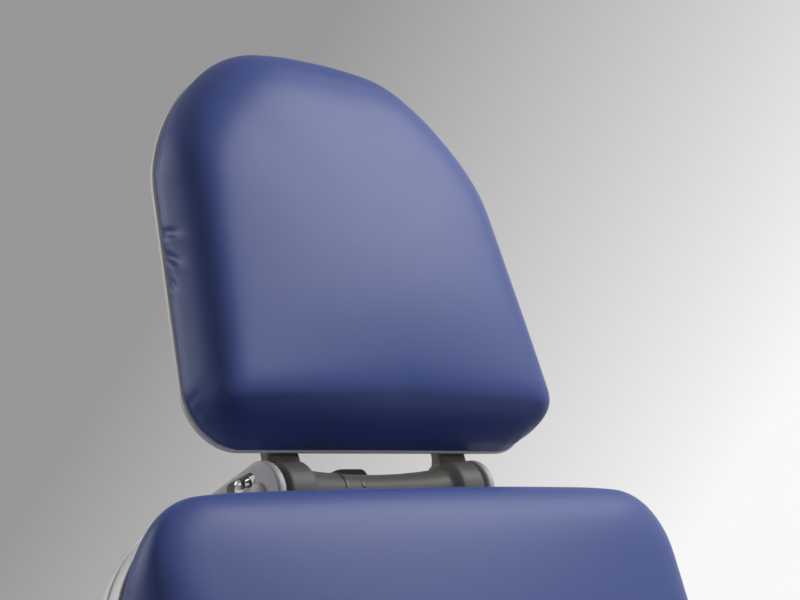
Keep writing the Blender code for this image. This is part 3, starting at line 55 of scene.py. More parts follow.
# Seams between pieces
GAP = 0.0003

# Headrest, along the backrest's own directions from the hinge axis
HEAD_HALF_LOW = 0.168
HEAD_HALF_TOP = 0.147
HEAD_FOOT = 0.025
HEAD_HEIGHT = 0.278
HEAD_TOP_CROWN = 0.034
HEAD_LOW_CORNER = 0.039
HEAD_TOP_CORNER = 0.0965
HEAD_BOARD_REAR = -0.009
HEAD_BOARD = 0.0050
HEAD_PAD = 0.049

# Backrest, from the recline axis
BACK_HALF_LOW = 0.262
BACK_HALF_TOP = 0.239
BACK_LOW = 0.040
BACK_TOP = 0.640
BACK_LOW_CORNER = 0.040
BACK_CORNER = 0.049
BACK_HEM_CORNER = 0.092
BACK_CROWN = 0.005
BACK_PAD_REAR = -0.003
BACK_PAD = 0.072

# Camera of the photograph
CAMERA_FROM_BOARD = (-0.8439, -0.8998, -0.0030)
CAMERA_YAW = 0.7688
CAMERA_PITCH = 0.0925
FOCAL_PIXELS = 1713.0
IMAGE_WIDTH = 800.0
SENSOR = 36.0


class Place:
    """Directions and origin of one carried group: a across, b rearwards and c upwards."""

    def __init__(self, origin, rear, up):
        self.origin = np.array(origin, float)
        self.axes = np.array((ACROSS, rear, up))

    def world(self, points):
        """Local points turned and moved to the chair."""
        return np.asarray(points, float) @ self.axes + self.origin

    def local(self, points):
        """Points of the chair in this group's directions."""
        return (np.asarray(points, float) - self.origin) @ self.axes.T


CHAIR = Place((0.0, 0.0, 0.0), (0.0, 1.0, 0.0), (0.0, 0.0, 1.0))
BACK = Place(JOINTS["backrest_recline"]["pos_m"], REAR, UP)
HEAD = Place(JOINTS["headrest_tilt"]["pos_m"], REAR, UP)
LEG_TURN = math.radians(JOINTS["legrest_lift"]["range_deg"][1])
LEG = Place(JOINTS["legrest_lift"]["pos_m"], (0.0, math.cos(LEG_TURN), math.sin(LEG_TURN)),
            (0.0, -math.sin(LEG_TURN), math.cos(LEG_TURN)))
NODES = frame["nodes"]
SLOT_OF = {part["node"]: part["material_slot"] for part in frame["record"]["subparts"]}


def points_of(mesh):
    """Vertices of a mesh as an array."""
    points = np.zeros(len(mesh.vertices) * 3)
    mesh.vertices.foreach_get("co", points)
    return points.reshape(-1, 3)


def span(name, place):
    """Lowest and highest local place of a frame node."""
    local = place.local(points_of(NODES[name].data))
    return local.min(0), local.max(0)


def node(tree, kind, settings=None, inputs=None):
    """New shader node: settings are its properties, inputs are values or the sockets that feed it."""
    made = tree.nodes.new("ShaderNode" + kind)
    for key, value in (settings or {}).items():
        setattr(made, key, value)
    for key, value in (inputs or {}).items():
        if isinstance(value, bpy.types.NodeSocket):
            tree.links.new(value, made.inputs[key])
        else:
            made.inputs[key].default_value = value
    return made


def maths(tree, operation, *values):
    """Result of a Math node on values or sockets."""
    return node(tree, "Math", {"operation": operation}, dict(enumerate(values))).outputs[0]


def own_place(tree):
    """Place on the object itself, for textures that ride with it."""
    return node(tree, "TexCoord").outputs["Object"]


NUMBER = "NodeSocketFloat"
COLOUR = "NodeSocketColor"


def start_group(name, inputs, output, output_kind=NUMBER):
    """Node group with named sockets: returns the tree, its given sockets and a way to set its result."""
    tree = bpy.data.node_groups.new(name, "ShaderNodeTree")
    for title, kind in inputs.items():
        tree.interface.new_socket(title, in_out="INPUT", socket_type=kind)
    tree.interface.new_socket(output, in_out="OUTPUT", socket_type=output_kind)
    given = tree.nodes.new("NodeGroupInput").outputs
    result = tree.nodes.new("NodeGroupOutput").inputs[output]
    return tree, given, lambda socket: tree.links.new(socket, result)


def drift(tree, given, detail, roughness, level):
    """Value that drifts about a level over soft clouds: level + Spread * (noise - 1/2)."""
    cloud = node(tree, "TexNoise", None, {"Vector": own_place(tree), "Scale": given["Scale"],
                                          "Detail": detail, "Roughness": roughness})
    centred = maths(tree, "SUBTRACT", cloud.outputs[0], 0.5)
    return maths(tree, "MULTIPLY_ADD", centred, given["Spread"], level)


def cloudy_tint():
    """Colour whose brightness drifts about 1 by Spread."""
    tree, given, give = start_group("cloudy_tint", {"Colour": COLOUR, "Spread": NUMBER, "Scale": NUMBER},
                                    "Colour", COLOUR)
    value = drift(tree, given, 4.0, 0.6, 1.0)
    give(node(tree, "HueSaturation", None, {"Value": value, "Color": given["Colour"]}).outputs["Color"])
    return tree


def worn_gloss():
    """Roughness that drifts about its own value by Spread."""
    tree, given, give = start_group("worn_gloss", {"Roughness": NUMBER, "Spread": NUMBER, "Scale": NUMBER},
                                    "Roughness")
    give(drift(tree, given, 5.0, 0.65, given["Roughness"]))
    return tree


def fine_grain():
    """Height of a pebbled skin: rounded cells of 1/Scale metres with finer noise on them."""
    tree, given, give = start_group("fine_grain", {"Scale": NUMBER}, "Height")
    place = own_place(tree)
    cells = node(tree, "TexVoronoi", {"feature": "SMOOTH_F1"},
                 {"Vector": place, "Scale": given["Scale"], "Smoothness": 0.6})
    finer = maths(tree, "MULTIPLY", given["Scale"], 2.3)
    dust = node(tree, "TexNoise", None, {"Vector": place, "Scale": finer, "Detail": 2.0})
    give(maths(tree, "MULTIPLY_ADD", dust.outputs[0], 0.45, cells.outputs["Distance"]))
    return tree


def drawn_streaks():
    """Height of fine lines drawn along the vertical: noise stretched to sixty times its width."""
    tree, given, give = start_group("drawn_streaks", {"Scale": NUMBER}, "Height")
    stretch = node(tree, "Mapping", None, {"Vector": own_place(tree), "Scale": (1.0, 1.0, 1.0 / 60)})
    lines = node(tree, "TexNoise", None, {"Vector": stretch.outputs["Vector"], "Scale": given["Scale"],
                                          "Detail": 3.0})
    give(lines.outputs[0])
    return tree


def wood_layers():
    """Height of stacked veneers: a wave up the vertical, bent by noise."""
    tree, given, give = start_group("wood_layers", {"Scale": NUMBER}, "Layer")
    wave = node(tree, "TexWave", {"bands_direction": "Z"},
                {"Vector": own_place(tree), "Scale": given["Scale"], "Distortion": 1.5, "Detail": 3.0,
                 "Detail Scale": 1.5})
    give(wave.outputs["Fac"])
    return tree


GROUPS = {make.__name__: make() for make in (cloudy_tint, worn_gloss, fine_grain, drawn_streaks, wood_layers)}


def use_group(tree, name, inputs):
    """One of the shared groups, placed in a material with its own values."""
    made = tree.nodes.new("ShaderNodeGroup")
    made.node_tree = GROUPS[name]
    for key, value in inputs.items():
        made.inputs[key].default_value = value
    return made.outputs[0]


def finish(name, colour, roughness, tint, gloss=(0.08, 30.0), relief=None, grain="fine_grain", metallic=0.0,
           shine=0.5):
    """Material of one finish: colour and roughness, each drifting by (spread, scale), and a small relief.

    relief is the (scale, height) of the grain, and shine is the level of the mirror-like part.
    """
    made = bpy.data.materials.new(name)
    made.use_nodes = True
    tree = made.node_tree
    shader = tree.nodes["Principled BSDF"]
    shader.inputs["Metallic"].default_value = metallic
    shader.inputs["Specular IOR Level"].default_value = shine
    clouds = use_group(tree, "cloudy_tint", {"Colour": (*colour, 1.0), "Spread": tint[0], "Scale": tint[1]})
    tree.links.new(clouds, shader.inputs["Base Color"])
    rough = use_group(tree, "worn_gloss", {"Roughness": roughness, "Spread": gloss[0], "Scale": gloss[1]})
    tree.links.new(rough, shader.inputs["Roughness"])
    if relief:
        skin = use_group(tree, grain, {"Scale": relief[0]})
        bump = node(tree, "Bump", None, {"Height": skin, "Strength": 1.0, "Distance": relief[1]})
        tree.links.new(bump.outputs["Normal"], shader.inputs["Normal"])
    return made


LOOKS = {
    "blue_vinyl": dict(colour=(0.062, 0.092, 0.270), roughness=0.36, tint=(0.08, 9.0), gloss=(0.06, 60.0),
                       relief=(1900.0, 0.00004), shine=0.12),
    "white_moulding": dict(colour=(0.80, 0.80, 0.795), roughness=0.36, tint=(0.03, 5.0),
                           relief=(1600.0, 0.00005)),
    "pale_board": dict(colour=(0.72, 0.71, 0.70), roughness=0.50, tint=(0.05, 8.0),
                       relief=(1400.0, 0.00008)),
    # grey_casting is the same pale casting as pale_casting, darkened as painted shade: it stands for the
    # headrest's shadow on the yoke, the lock block and the other grey_casting parts
    "grey_casting": dict(colour=(0.115, 0.108, 0.098), roughness=0.46, tint=(0.08, 14.0),
                         relief=(900.0, 0.00006), shine=0.15),
    "pale_casting": dict(colour=(0.44, 0.43, 0.44), roughness=0.46, tint=(0.06, 14.0),
                         relief=(900.0, 0.00006), shine=0.3),
    "grey_enamel": dict(colour=(0.42, 0.42, 0.43), roughness=0.38, tint=(0.06, 9.0),
                        relief=(900.0, 0.00010)),
    "dark_enamel": dict(colour=(0.085, 0.085, 0.09), roughness=0.42, tint=(0.10, 9.0),
                        relief=(900.0, 0.00010)),
    "zinc_steel": dict(colour=(0.56, 0.56, 0.57), roughness=0.34, tint=(0.08, 10.0), metallic=1.0,
                       relief=(900.0, 0.00006), grain="drawn_streaks"),
    "chrome": dict(colour=(0.78, 0.78, 0.79), roughness=0.14, tint=(0.03, 12.0), gloss=(0.06, 80.0),
                   metallic=1.0),
    "black_moulding": dict(colour=(0.032, 0.032, 0.034), roughness=0.48, tint=(0.12, 12.0),
                           relief=(1200.0, 0.00012)),
    "black_rubber": dict(colour=(0.022, 0.022, 0.023), roughness=0.72, tint=(0.15, 20.0),
                         relief=(600.0, 0.00020)),
    "plywood": dict(colour=(0.15, 0.115, 0.085), roughness=0.58, tint=(0.20, 4.0),
                    relief=(120.0, 0.00010), grain="wood_layers"),
}
FINISHES = {name: finish(name, **look) for name, look in LOOKS.items()}
for name, part in NODES.items():
    part.data.materials.clear()
    part.data.materials.append(FINISHES[SLOT_OF[name]])


def linked(name, data):
    """New object in the scene."""
    made = bpy.data.objects.new(name, data)
    bpy.context.scene.collection.objects.link(made)
    return made


def discard(thing):
    """Remove an object and its mesh."""
    mesh = thing.data
    bpy.data.objects.remove(thing)
    bpy.data.meshes.remove(mesh)


def new_mesh(name, points, faces):
    """Mesh from whole arrays."""
    mesh = bpy.data.meshes.new(name)
    mesh.from_pydata(np.asarray(points, float).tolist(), [], faces)
    return mesh


def new_piece(name, shape, place, body, slot, nodes=(), smooth_angle=None, look=None):
    """Mesh object from a shape in a group's directions, riding on a body and standing for CAD nodes."""
    mesh = new_mesh(name, place.world(shape[0]), shape[1])
    mesh.materials.append(FINISHES[look or slot])
    mesh.validate()
    mesh.shade_smooth()
    if smooth_angle:
        mesh.set_sharp_from_angle(angle=math.radians(smooth_angle))
    piece = linked(name, mesh)
    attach(piece, body)
    if nodes:
        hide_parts(*nodes)
    return piece


def smoothstep(share):
    """Ease from 0 to 1: 3x^2 - 2x^3, held outside that stretch."""
    share = np.clip(share, 0.0, 1.0)
    return share * share * (3 - 2 * share)


def unit(vectors):
    """Each vector at length 1."""
    return vectors / np.linalg.norm(vectors, axis=1)[:, None]


def circle(count):
    """Cosine and sine of even steps round a circle."""
    angle = np.arange(count) * 2 * math.pi / count
    return np.cos(angle), np.sin(angle)


ARC_POINTS = 25
CROWN_START = 0.7


def corner_path(corners, count):
    """Closed outline whose corners (a, b, radius) become arcs of count points about their own centres."""
    corners = np.array(corners, float)
    here = corners[:, :2]
    radius = corners[:, 2]
    before = unit(np.roll(here, 1, 0) - here)
    after = unit(np.roll(here, -1, 0) - here)
    half = np.arccos(np.clip((before * after).sum(1), -1, 1)) / 2
    inward = unit(before + after)
    centre = here + inward * (radius / np.sin(half))[:, None]
    middle = np.arctan2(-inward[:, 1], -inward[:, 0])
    angle = middle[:, None] + (math.pi / 2 - half)[:, None] * np.linspace(-1, 1, count)
    arcs = centre[:, None] + radius[:, None, None] * np.stack((np.cos(angle), np.sin(angle)), -1)
    return arcs.reshape(-1, 2)


def along_path(path, lengths):
    """Points of a closed outline at lengths measured from its first point."""
    closed = np.vstack((path, path[:1]))
    run = path_run(path)
    lengths = np.mod(lengths, run[-1])
    return np.stack((np.interp(lengths, run, closed[:, 0]), np.interp(lengths, run, closed[:, 1])), -1)


def path_run(path):
    """Length from an outline's first point to each of its points, and all the way round."""
    steps = np.linalg.norm(np.diff(np.vstack((path, path[:1])), axis=0), axis=1)
    return np.concatenate(((0.0,), np.cumsum(steps)))


def panel_edge(panel, shares):
    """Edge of a panel at shares of the way round from its right side, with corners at the odd eighths.

    panel is (low, high, half_low, half_high, corner_low, corner_high, crown): a trapezium with round
    corners whose top edge is bowed up by crown * (1 - (a / half)^2), eased in above CROWN_START.
    """
    low, high, half_low, half_high, corner_low, corner_high, crown = panel
    count = ARC_POINTS
    path = corner_path([(-half_low, low, corner_low), (half_low, low, corner_low),
                        (half_high, high, corner_high), (-half_high, high, corner_high)], count)
    run = path_run(path)
    middles = run[count // 2:4 * count:count]
    knots = np.array((5, 7, 9, 11, 13)) / 8
    lengths = np.concatenate((middles, (middles[0] + run[-1],)))
    onward = np.where(shares < knots[0], shares + 1, shares)
    edge = along_path(path, np.interp(onward, knots, lengths))
    rise = np.clip(((edge[:, 1] - low) / (high - low) - CROWN_START) / (1 - CROWN_START), 0.0, 1.0)
    edge[:, 1] += crown * np.maximum(0.0, 1 - (edge[:, 0] / half_high) ** 2) * rise
    return edge


def ring_grid(count):
    """Square grid as nested rings: each point's ring from 0 to 1, its share of the way round, the quads."""
    index = np.arange(-count, count + 1)
    across, along = (axis.ravel() for axis in np.meshgrid(index, index))
    ring = np.maximum(abs(across), abs(along))
    x = across / np.maximum(ring, 1)
    y = along / np.maximum(ring, 1)
    share = np.select((x == 1, y == 1, x == -1), (y / 8, (2 - x) / 8, (4 - y) / 8), (6 + x) / 8) % 1.0
    side = 2 * count + 1
    corner = (np.arange(side - 1)[:, None] * side + np.arange(side - 1)).ravel()
    quads = np.stack((corner, corner + 1, corner + side + 1, corner + side), -1)
    return ring / count, share, quads


PROFILE_POINTS = 900
PROFILE_ROWS = 24
ROUND_PART = 0.97
USUAL_HALF = 0.15
USUAL_DEPTH = 0.05
HEM_CROWDING = 1.4


def profile_row(power):
    """One cushion profile from hem to middle, s^power + h^2 = 1, at even steps of its length: s, then h."""
    turn = np.linspace(0.0, math.acos(ROUND_PART ** (power / 2)), PROFILE_POINTS)
    inner = np.linspace(ROUND_PART, 0.0, PROFILE_POINTS)[1:]
    s = np.concatenate((np.cos(turn) ** (2 / power), inner))
    h = np.concatenate((np.sin(turn), np.sqrt(1 - inner ** power)))
    steps = np.hypot(USUAL_HALF * np.diff(s), USUAL_DEPTH * np.diff(h))
    run = np.concatenate(((0.0,), np.cumsum(steps)))
    even = np.linspace(0.0, run[-1], PROFILE_POINTS)
    return np.interp(even, run, s), np.interp(even, run, h)


def cushion_profile(ring, power):
    """Each point's s and h: its profile is mixed from the two rows nearest its firmness."""
    steps = np.linspace(power.min(), power.max() + 1e-6, PROFILE_ROWS)
    rows = np.array([profile_row(step) for step in steps])
    row = (power - steps[0]) / (steps[-1] - steps[0]) * (PROFILE_ROWS - 1)
    column = (1 - ring) ** HEM_CROWDING * (PROFILE_POINTS - 1)
    low = np.clip(row.astype(int), 0, PROFILE_ROWS - 2)
    left = np.clip(column.astype(int), 0, PROFILE_POINTS - 2)
    row, column = row - low, column - left
    near = rows[low, :, left] * (1 - column)[:, None] + rows[low, :, left + 1] * column[:, None]
    far = rows[low + 1, :, left] * (1 - column)[:, None] + rows[low + 1, :, left + 1] * column[:, None]
    return (near * (1 - row)[:, None] + far * row[:, None]).T


def stacked(a, b, c):
    """Three arrays as points."""
    return np.stack((a, b, c), -1)


def rungs(loop):
    """Flat cap of a closed loop: quads from side to side, with a triangle at two opposite corners."""
    loop = np.roll(loop, -(len(loop) // 8))
    half = len(loop) // 2
    low = np.arange(1, half - 1)
    quads = np.stack((loop[low], loop[low + 1], loop[-low - 1], loop[-low]), -1)
    return quads.tolist() + [[loop[0], loop[1], loop[-1]], [loop[half - 1], loop[half], loop[half + 1]]]


def lofted(rings):
    """Closed skin through rings of equally many points: quads between neighbours, and a cap at each end."""
    rows, count = rings.shape[:2]
    index = np.arange(rows * count).reshape(rows, count)
    after = np.roll(index, -1, 1)
    sides = np.stack((index[:-1], after[:-1], after[1:], index[1:]), -1).reshape(-1, 4)
    return rings.reshape(-1, 3), sides.tolist() + rungs(index[-1]) + rungs(index[0][::-1])


def drawn_in(edge, depth):
    """Closed outline moved inwards by depth along its own normals."""
    along = unit(np.roll(edge, -1, 0) - np.roll(edge, 1, 0))
    return edge + depth * np.stack((-along[:, 1], along[:, 0]), -1)


def turned(stations, count=64):
    """Solid of revolution about the first direction, through stations of (place along it, radius)."""
    stations = np.array(stations, float)
    cos, sin = circle(count)
    along = np.repeat(stations[:, :1], count, 1)
    radius = stations[:, 1:]
    return lofted(stacked(along, radius * cos, radius * sin))


def rounded_bar(levels, power=6.0, count=48):
    """Bar along the third direction through levels of (height, middle a, middle b, half a, half b).

    Each section is a superellipse: |a|^p + |b|^p = 1, with p = power.
    """
    levels = np.array(levels, float)
    cos, sin = circle(count)
    a = np.sign(cos) * abs(cos) ** (2 / power)
    b = np.sign(sin) * abs(sin) ** (2 / power)
    height = np.repeat(levels[:, :1], count, 1)
    return lofted(stacked(levels[:, 1:2] + levels[:, 3:4] * a, levels[:, 2:3] + levels[:, 4:5] * b, height))


def rearward_bar(start, end, *section, power):
    """Bar from front to rear: section is its middle across and up, then its half width and half height."""
    points, faces = rounded_bar([(at, *section) for at in (start, end)], power)
    return points[:, (0, 2, 1)], faces


def cross_bar(start, end, *section, power, count=48):
    """Bar from side to side: section is its middle rearwards and up, then half its depth and height."""
    points, faces = rounded_bar([(at, *section) for at in (start, end)], power, count)
    return points[:, (2, 0, 1)], faces


def extruded(outline, low, high, edge):
    """Outline (b, c) carried across from low to high, with both rims rounded by edge."""
    rings = [stacked(np.full(len(outline), at), *drawn_in(outline, depth).T)
             for at, depth in ((low, edge), (low + 0.3 * edge, 0.3 * edge), (low + edge, 0.0),
                               (high - edge, 0.0), (high - 0.3 * edge, 0.3 * edge), (high, edge))]
    return lofted(np.array(rings))


def solid_object(points, faces):
    """Loose working object from arrays, not a piece of the chair."""
    mesh = new_mesh("working", points, faces)
    outward = bmesh.new()
    outward.from_mesh(mesh)
    bmesh.ops.recalc_face_normals(outward, faces=outward.faces)
    outward.to_mesh(mesh)
    outward.free()
    return linked("working", mesh)


def taken(thing):
    """Points and faces of an object with its modifiers applied, and the object removed."""
    depsgraph = bpy.context.evaluated_depsgraph_get()
    mesh = bpy.data.meshes.new_from_object(thing.evaluated_get(depsgraph))
    shape = points_of(mesh), [list(face.vertices) for face in mesh.polygons]
    discard(thing)
    bpy.data.meshes.remove(mesh)
    return shape


def together(solids):
    """Several closed solids as the points and faces of one mesh."""
    starts = np.cumsum([0] + [len(points) for points, faces in solids])
    points = np.vstack([points for points, faces in solids])
    faces = [[int(corner + start) for corner in face]
             for (_, quads), start in zip(solids, starts) for face in quads]
    return points, faces


def hooped(rings):
    """Closed band through rings of equally many points, its last ring joined to its first."""
    rows, count = rings.shape[:2]
    index = np.arange(rows * count).reshape(rows, count)
    around = np.roll(index, -1, 1)
    above = np.roll(index, -1, 0)
    quads = np.stack((index, around, np.roll(around, -1, 0), above), -1).reshape(-1, 4)
    return rings.reshape(-1, 3), quads.tolist()


def rounded_off(profile, passes=3):
    """Open profile with its corners cut at a quarter and three quarters of each side, again and again."""
    profile = np.array(profile, float)
    for _ in range(passes):
        cut = np.stack((0.75 * profile[:-1] + 0.25 * profile[1:],
                        0.25 * profile[:-1] + 0.75 * profile[1:]), 1)
        profile = np.vstack((profile[:1], cut.reshape(-1, profile.shape[1]), profile[-1:]))
    return profile


def run_together(solids, voxel, passes):
    """One casting out of several closed solids: a voxel remesh joins them and smoothing fillets the joins."""
    made = solid_object(*together(solids))
    remesh = made.modifiers.new("Remesh", "REMESH")
    remesh.mode = "VOXEL"
    remesh.voxel_size = voxel
    smooth = made.modifiers.new("Smooth", "SMOOTH")
    smooth.factor = 0.5
    smooth.iterations = passes
    return taken(made)


def cut_out(shape, *tools):
    """Shape with closed tools cut out of it by an exact Boolean."""
    made = solid_object(*shape)
    cutters = [solid_object(*tool) for tool in tools]
    for tool in cutters:
        cut = made.modifiers.new("Cut", "BOOLEAN")
        cut.operation = "DIFFERENCE"
        cut.solver = "EXACT"
        cut.object = tool
    result = taken(made)
    for tool in cutters:
        discard(tool)
    return result


PAD_SIDES = np.arange(9) / 8
FACE_FROM = 0.85
TUCK_UP_TO = 0.25
FOLD_IN = 0.97
CLOTH_FRAMES = 20
EVENING = 300
RIPPLES = 0.12
RIPPLES_UP_TO = 0.55
RIDGE = 0.45
RIDGE_AWAY = 1.6


class Pad:
    """Upholstered cushion between its hem outline and its face outline.

    Its profile is s^firmness + h^2 = 1, from s = 1 at the hem to s = 0 at the middle of the face. A
    point's height is depth * h + crown * (1 - u^2) * (1 - v^2), u and v being its shares of the face's
    half width and half height, and s draws the outline in towards the middle. The outline runs over
    from hem to face with the height, and is tucked in near the hem. firmness is given for the right
    side, the top right corner and so on round to the bottom right corner.
    """

    def __init__(self, name, body, cad_node, hem, face, spread, depth, crown, firmness, tuck, count, cap):
        self.name, self.body, self.cad_node, self.spread, self.cap = name, body, cad_node, spread, cap
        ring, self.share, self.quads = ring_grid(count)
        power = np.interp(self.share, PAD_SIDES, (*firmness, firmness[0]))
        shrink, self.swell = cushion_profile(ring, power)
        over = np.clip(self.swell / FACE_FROM, 0.0, 1.0)[:, None]
        edge = panel_edge(hem, self.share) * (1 - over) + panel_edge(face, self.share) * over
        middle = np.array((0.0, (hem[0] + hem[1]) / 2))
        out = edge - middle
        far = np.linalg.norm(out, axis=1)
        pull = tuck * (1 - smoothstep(self.swell / TUCK_UP_TO))
        flat = middle + out * (shrink - pull / far)[:, None]
        beside, above = ((flat - middle) / (max(hem[2:4]), (hem[1] - hem[0]) / 2)).T
        bulge = np.clip(1 - beside ** 2, 0.0, 1.0) * np.clip(1 - above ** 2, 0.0, 1.0)
        height = depth * self.swell + crown * bulge
        self.points = spread(flat[:, 0], flat[:, 1], height)
        self.rim = np.flatnonzero(ring == 1)
        self.rim = self.rim[np.argsort(self.share[self.rim])]
        inside = middle + (flat[self.rim] - middle) * FOLD_IN
        self.under = spread(inside[:, 0], inside[:, 1], np.zeros(len(inside)))
        self.creases = []

    def start_cloth(self):
        """Stand-in object with Cloth on it: hem pinned, light pressure from inside, no gravity."""
        name = self.name + "_cloth"
        self.cloth = linked(name, new_mesh(name, self.points, self.quads.tolist()))
        pins = self.cloth.vertex_groups.new(name="hem")
        pins.add(self.rim.tolist(), 1.0, "REPLACE")
        modifier = self.cloth.modifiers.new("Cloth", "CLOTH")
        settings = modifier.settings
        settings.quality = 6
        settings.mass = 0.3
        settings.tension_stiffness = settings.compression_stiffness = 25.0
        settings.bending_stiffness = 4.0
        settings.vertex_group_mass = "hem"
        settings.use_pressure = True
        settings.uniform_pressure_force = 4.0
        settings.effector_weights.gravity = 0.0
        modifier.point_cache.frame_start = 1
        modifier.point_cache.frame_end = CLOTH_FRAMES

    def end_cloth(self):
        """Swollen skin: swelling evened over the foam, some ripples kept by the hem, scaled to the cap."""
        depsgraph = bpy.context.evaluated_depsgraph_get()
        move = points_of(self.cloth.evaluated_get(depsgraph).data) - self.points
        side = math.isqrt(len(move))
        even = move.reshape(side, side, 3).copy()
        for _ in range(EVENING):
            near = even[:-2, 1:-1] + even[2:, 1:-1] + even[1:-1, :-2] + even[1:-1, 2:]
            even[1:-1, 1:-1] = 0.5 * even[1:-1, 1:-1] + 0.125 * near
        even = even.reshape(-1, 3)
        near_hem = 1 - smoothstep(self.swell / RIPPLES_UP_TO)
        move = even + RIPPLES * near_hem[:, None] * (move - even)
        self.points += move * min(1.0, self.cap / np.linalg.norm(move, axis=1).max())
        discard(self.cloth)

    def build(self):
        """Closed piece: skin with its creases, folded under the hem and closed flat on the board."""
        count = len(self.points)
        under = count + np.arange(len(self.rim))
        fold = np.stack((np.roll(self.rim, -1), self.rim, under, np.roll(under, -1)), -1)
        faces = self.quads.tolist() + fold.tolist() + rungs(under[::-1])
        self.points = self.points + self.pressed()
        piece = new_piece(self.name, (np.vstack((self.points, self.under)), faces), CHAIR, self.body,
                          "blue_vinyl", (self.cad_node,))
        softer = piece.modifiers.new("Subdivision", "SUBSURF")
        softer.levels = softer.render_levels = 1
        return piece

    def pressed(self):
        """Moves along the skin's normals: each crease is a bell along its line, with a ridge beside it.

        It is placed by its share of the way round and its height. Across the line it is
        exp(-b^2) - RIDGE * exp(-(b - RIDGE_AWAY)^2), b being in widths.
        """
        grid = self.points[self.quads]
        facing = np.cross(grid[:, 2] - grid[:, 0], grid[:, 3] - grid[:, 1])
        normal = np.zeros_like(self.points)
        for corner in range(4):
            np.add.at(normal, self.quads[:, corner], facing)
        normal /= np.maximum(np.linalg.norm(normal, axis=1), 1e-12)[:, None]
        rim = self.points[self.rim]
        round_length = np.linalg.norm(np.diff(rim, axis=0), axis=1).sum()
        move = np.zeros(len(self.points))
        for share, swell, tilt, length, width, depth in self.creases:
            x = ((self.share - share + 0.5) % 1.0 - 0.5) * round_length
            y = (self.swell - swell) * USUAL_DEPTH
            along = x * math.sin(tilt) + y * math.cos(tilt)
            beside = x * math.cos(tilt) - y * math.sin(tilt)
            ridge = RIDGE * np.exp(-((beside - RIDGE_AWAY * width) / width) ** 2)
            move -= depth * np.exp(-(along / length) ** 2) * (np.exp(-(beside / width) ** 2) - ridge)
        return normal * move[:, None]


HEAD_BOARD_FRONT = HEAD_BOARD_REAR - HEAD_BOARD
HEAD_HEM = (HEAD_FOOT, HEAD_FOOT + HEAD_HEIGHT, HEAD_HALF_LOW, HEAD_HALF_TOP, HEAD_LOW_CORNER,
            HEAD_TOP_CORNER, HEAD_TOP_CROWN)
HEAD_OVER = 0.002
HEAD_FACE_RISE = 0.015
HEAD_FACE_CORNER = 0.012
HEAD_FACE = (HEAD_FOOT + HEAD_FACE_RISE, HEAD_FOOT + HEAD_HEIGHT + HEAD_OVER, HEAD_HALF_LOW + HEAD_OVER,
             HEAD_HALF_TOP + HEAD_OVER, HEAD_FACE_CORNER, HEAD_TOP_CORNER, HEAD_TOP_CROWN)
head_pad = Pad("headrest_cushion", "headrest", "headrest_pad", HEAD_HEM, HEAD_FACE,
               lambda a, c, h: HEAD.world(stacked(a, HEAD_BOARD_FRONT - GAP - h, c)),
               depth=HEAD_PAD - 0.0035, crown=0.0065, firmness=(14.0, 9.0, 8.0, 11.0, 22.0, 24.0, 13.0, 18.0),
               tuck=0.0012, count=60, cap=0.0022)

# Creases at the sides and low corners: share of the way round, height, tilt, length, width and depth
head_pad.creases += [(0.484, 0.22, 0.55, 0.013, 0.0030, 0.0026), (0.503, 0.20, 0.75, 0.014, 0.0030, 0.0028),
                     (0.520, 0.12, 0.90, 0.008, 0.0026, 0.0018), (0.015, 0.24, -0.60, 0.012, 0.0030, 0.0018)]
head_pad.creases += [(corner + step, 0.16, 0.10 * lean, 0.012, 0.0026, 0.0007)
                     for corner, lean in ((0.625, 1), (0.875, -1)) for step in (-0.020, -0.009, 0.006, 0.018)]

BACK_HEM_OVER = 0.010
BACK_FACE_OVER = 0.019
BACK_FACE_RISE = 0.012
BACK_HEM = (BACK_LOW, BACK_TOP, BACK_HALF_LOW, BACK_HALF_TOP + BACK_HEM_OVER, BACK_LOW_CORNER,
            BACK_HEM_CORNER, BACK_CROWN)
BACK_FACE = (BACK_LOW, BACK_TOP + BACK_FACE_RISE, BACK_HALF_LOW, BACK_HALF_TOP + BACK_FACE_OVER,
             BACK_LOW_CORNER, BACK_CORNER, BACK_CROWN)
back_pad = Pad("backrest_cushion", "backrest", "back_pad", BACK_HEM, BACK_FACE,
               lambda a, c, h: BACK.world(stacked(a, BACK_PAD_REAR - h, c)),
               depth=BACK_PAD - 0.017, crown=0.015, firmness=(24.0, 24.0, 24.0, 26.0, 26.0, 20.0, 18.0, 20.0),
               tuck=0.001, count=60, cap=0.003)

SEAT_CORNER = 0.060
LEG_CORNER = 0.060
LEG_TOP_CORNER = 0.035
ARM_CORNER = 0.030


def plain_cushion(name, body, cad_node, place, corner, top_corner, crown, firmness, count, cap):
    """Cushion over its CAD solid, with one outline from hem to face and room for the cloth to swell."""
    low, high = span(cad_node, place)
    middle = (low[0] + high[0]) / 2
    half = (high[0] - low[0]) / 2
    edge = (low[1], high[1], half, half, corner, top_corner, 0.0)
    return Pad(name, body, cad_node, edge, edge,
               lambda a, b, h: place.world(stacked(a + middle, b, low[2] + h)),
               depth=high[2] - low[2] - crown - cap, crown=crown, firmness=firmness,
               tuck=0.003, count=count, cap=cap)


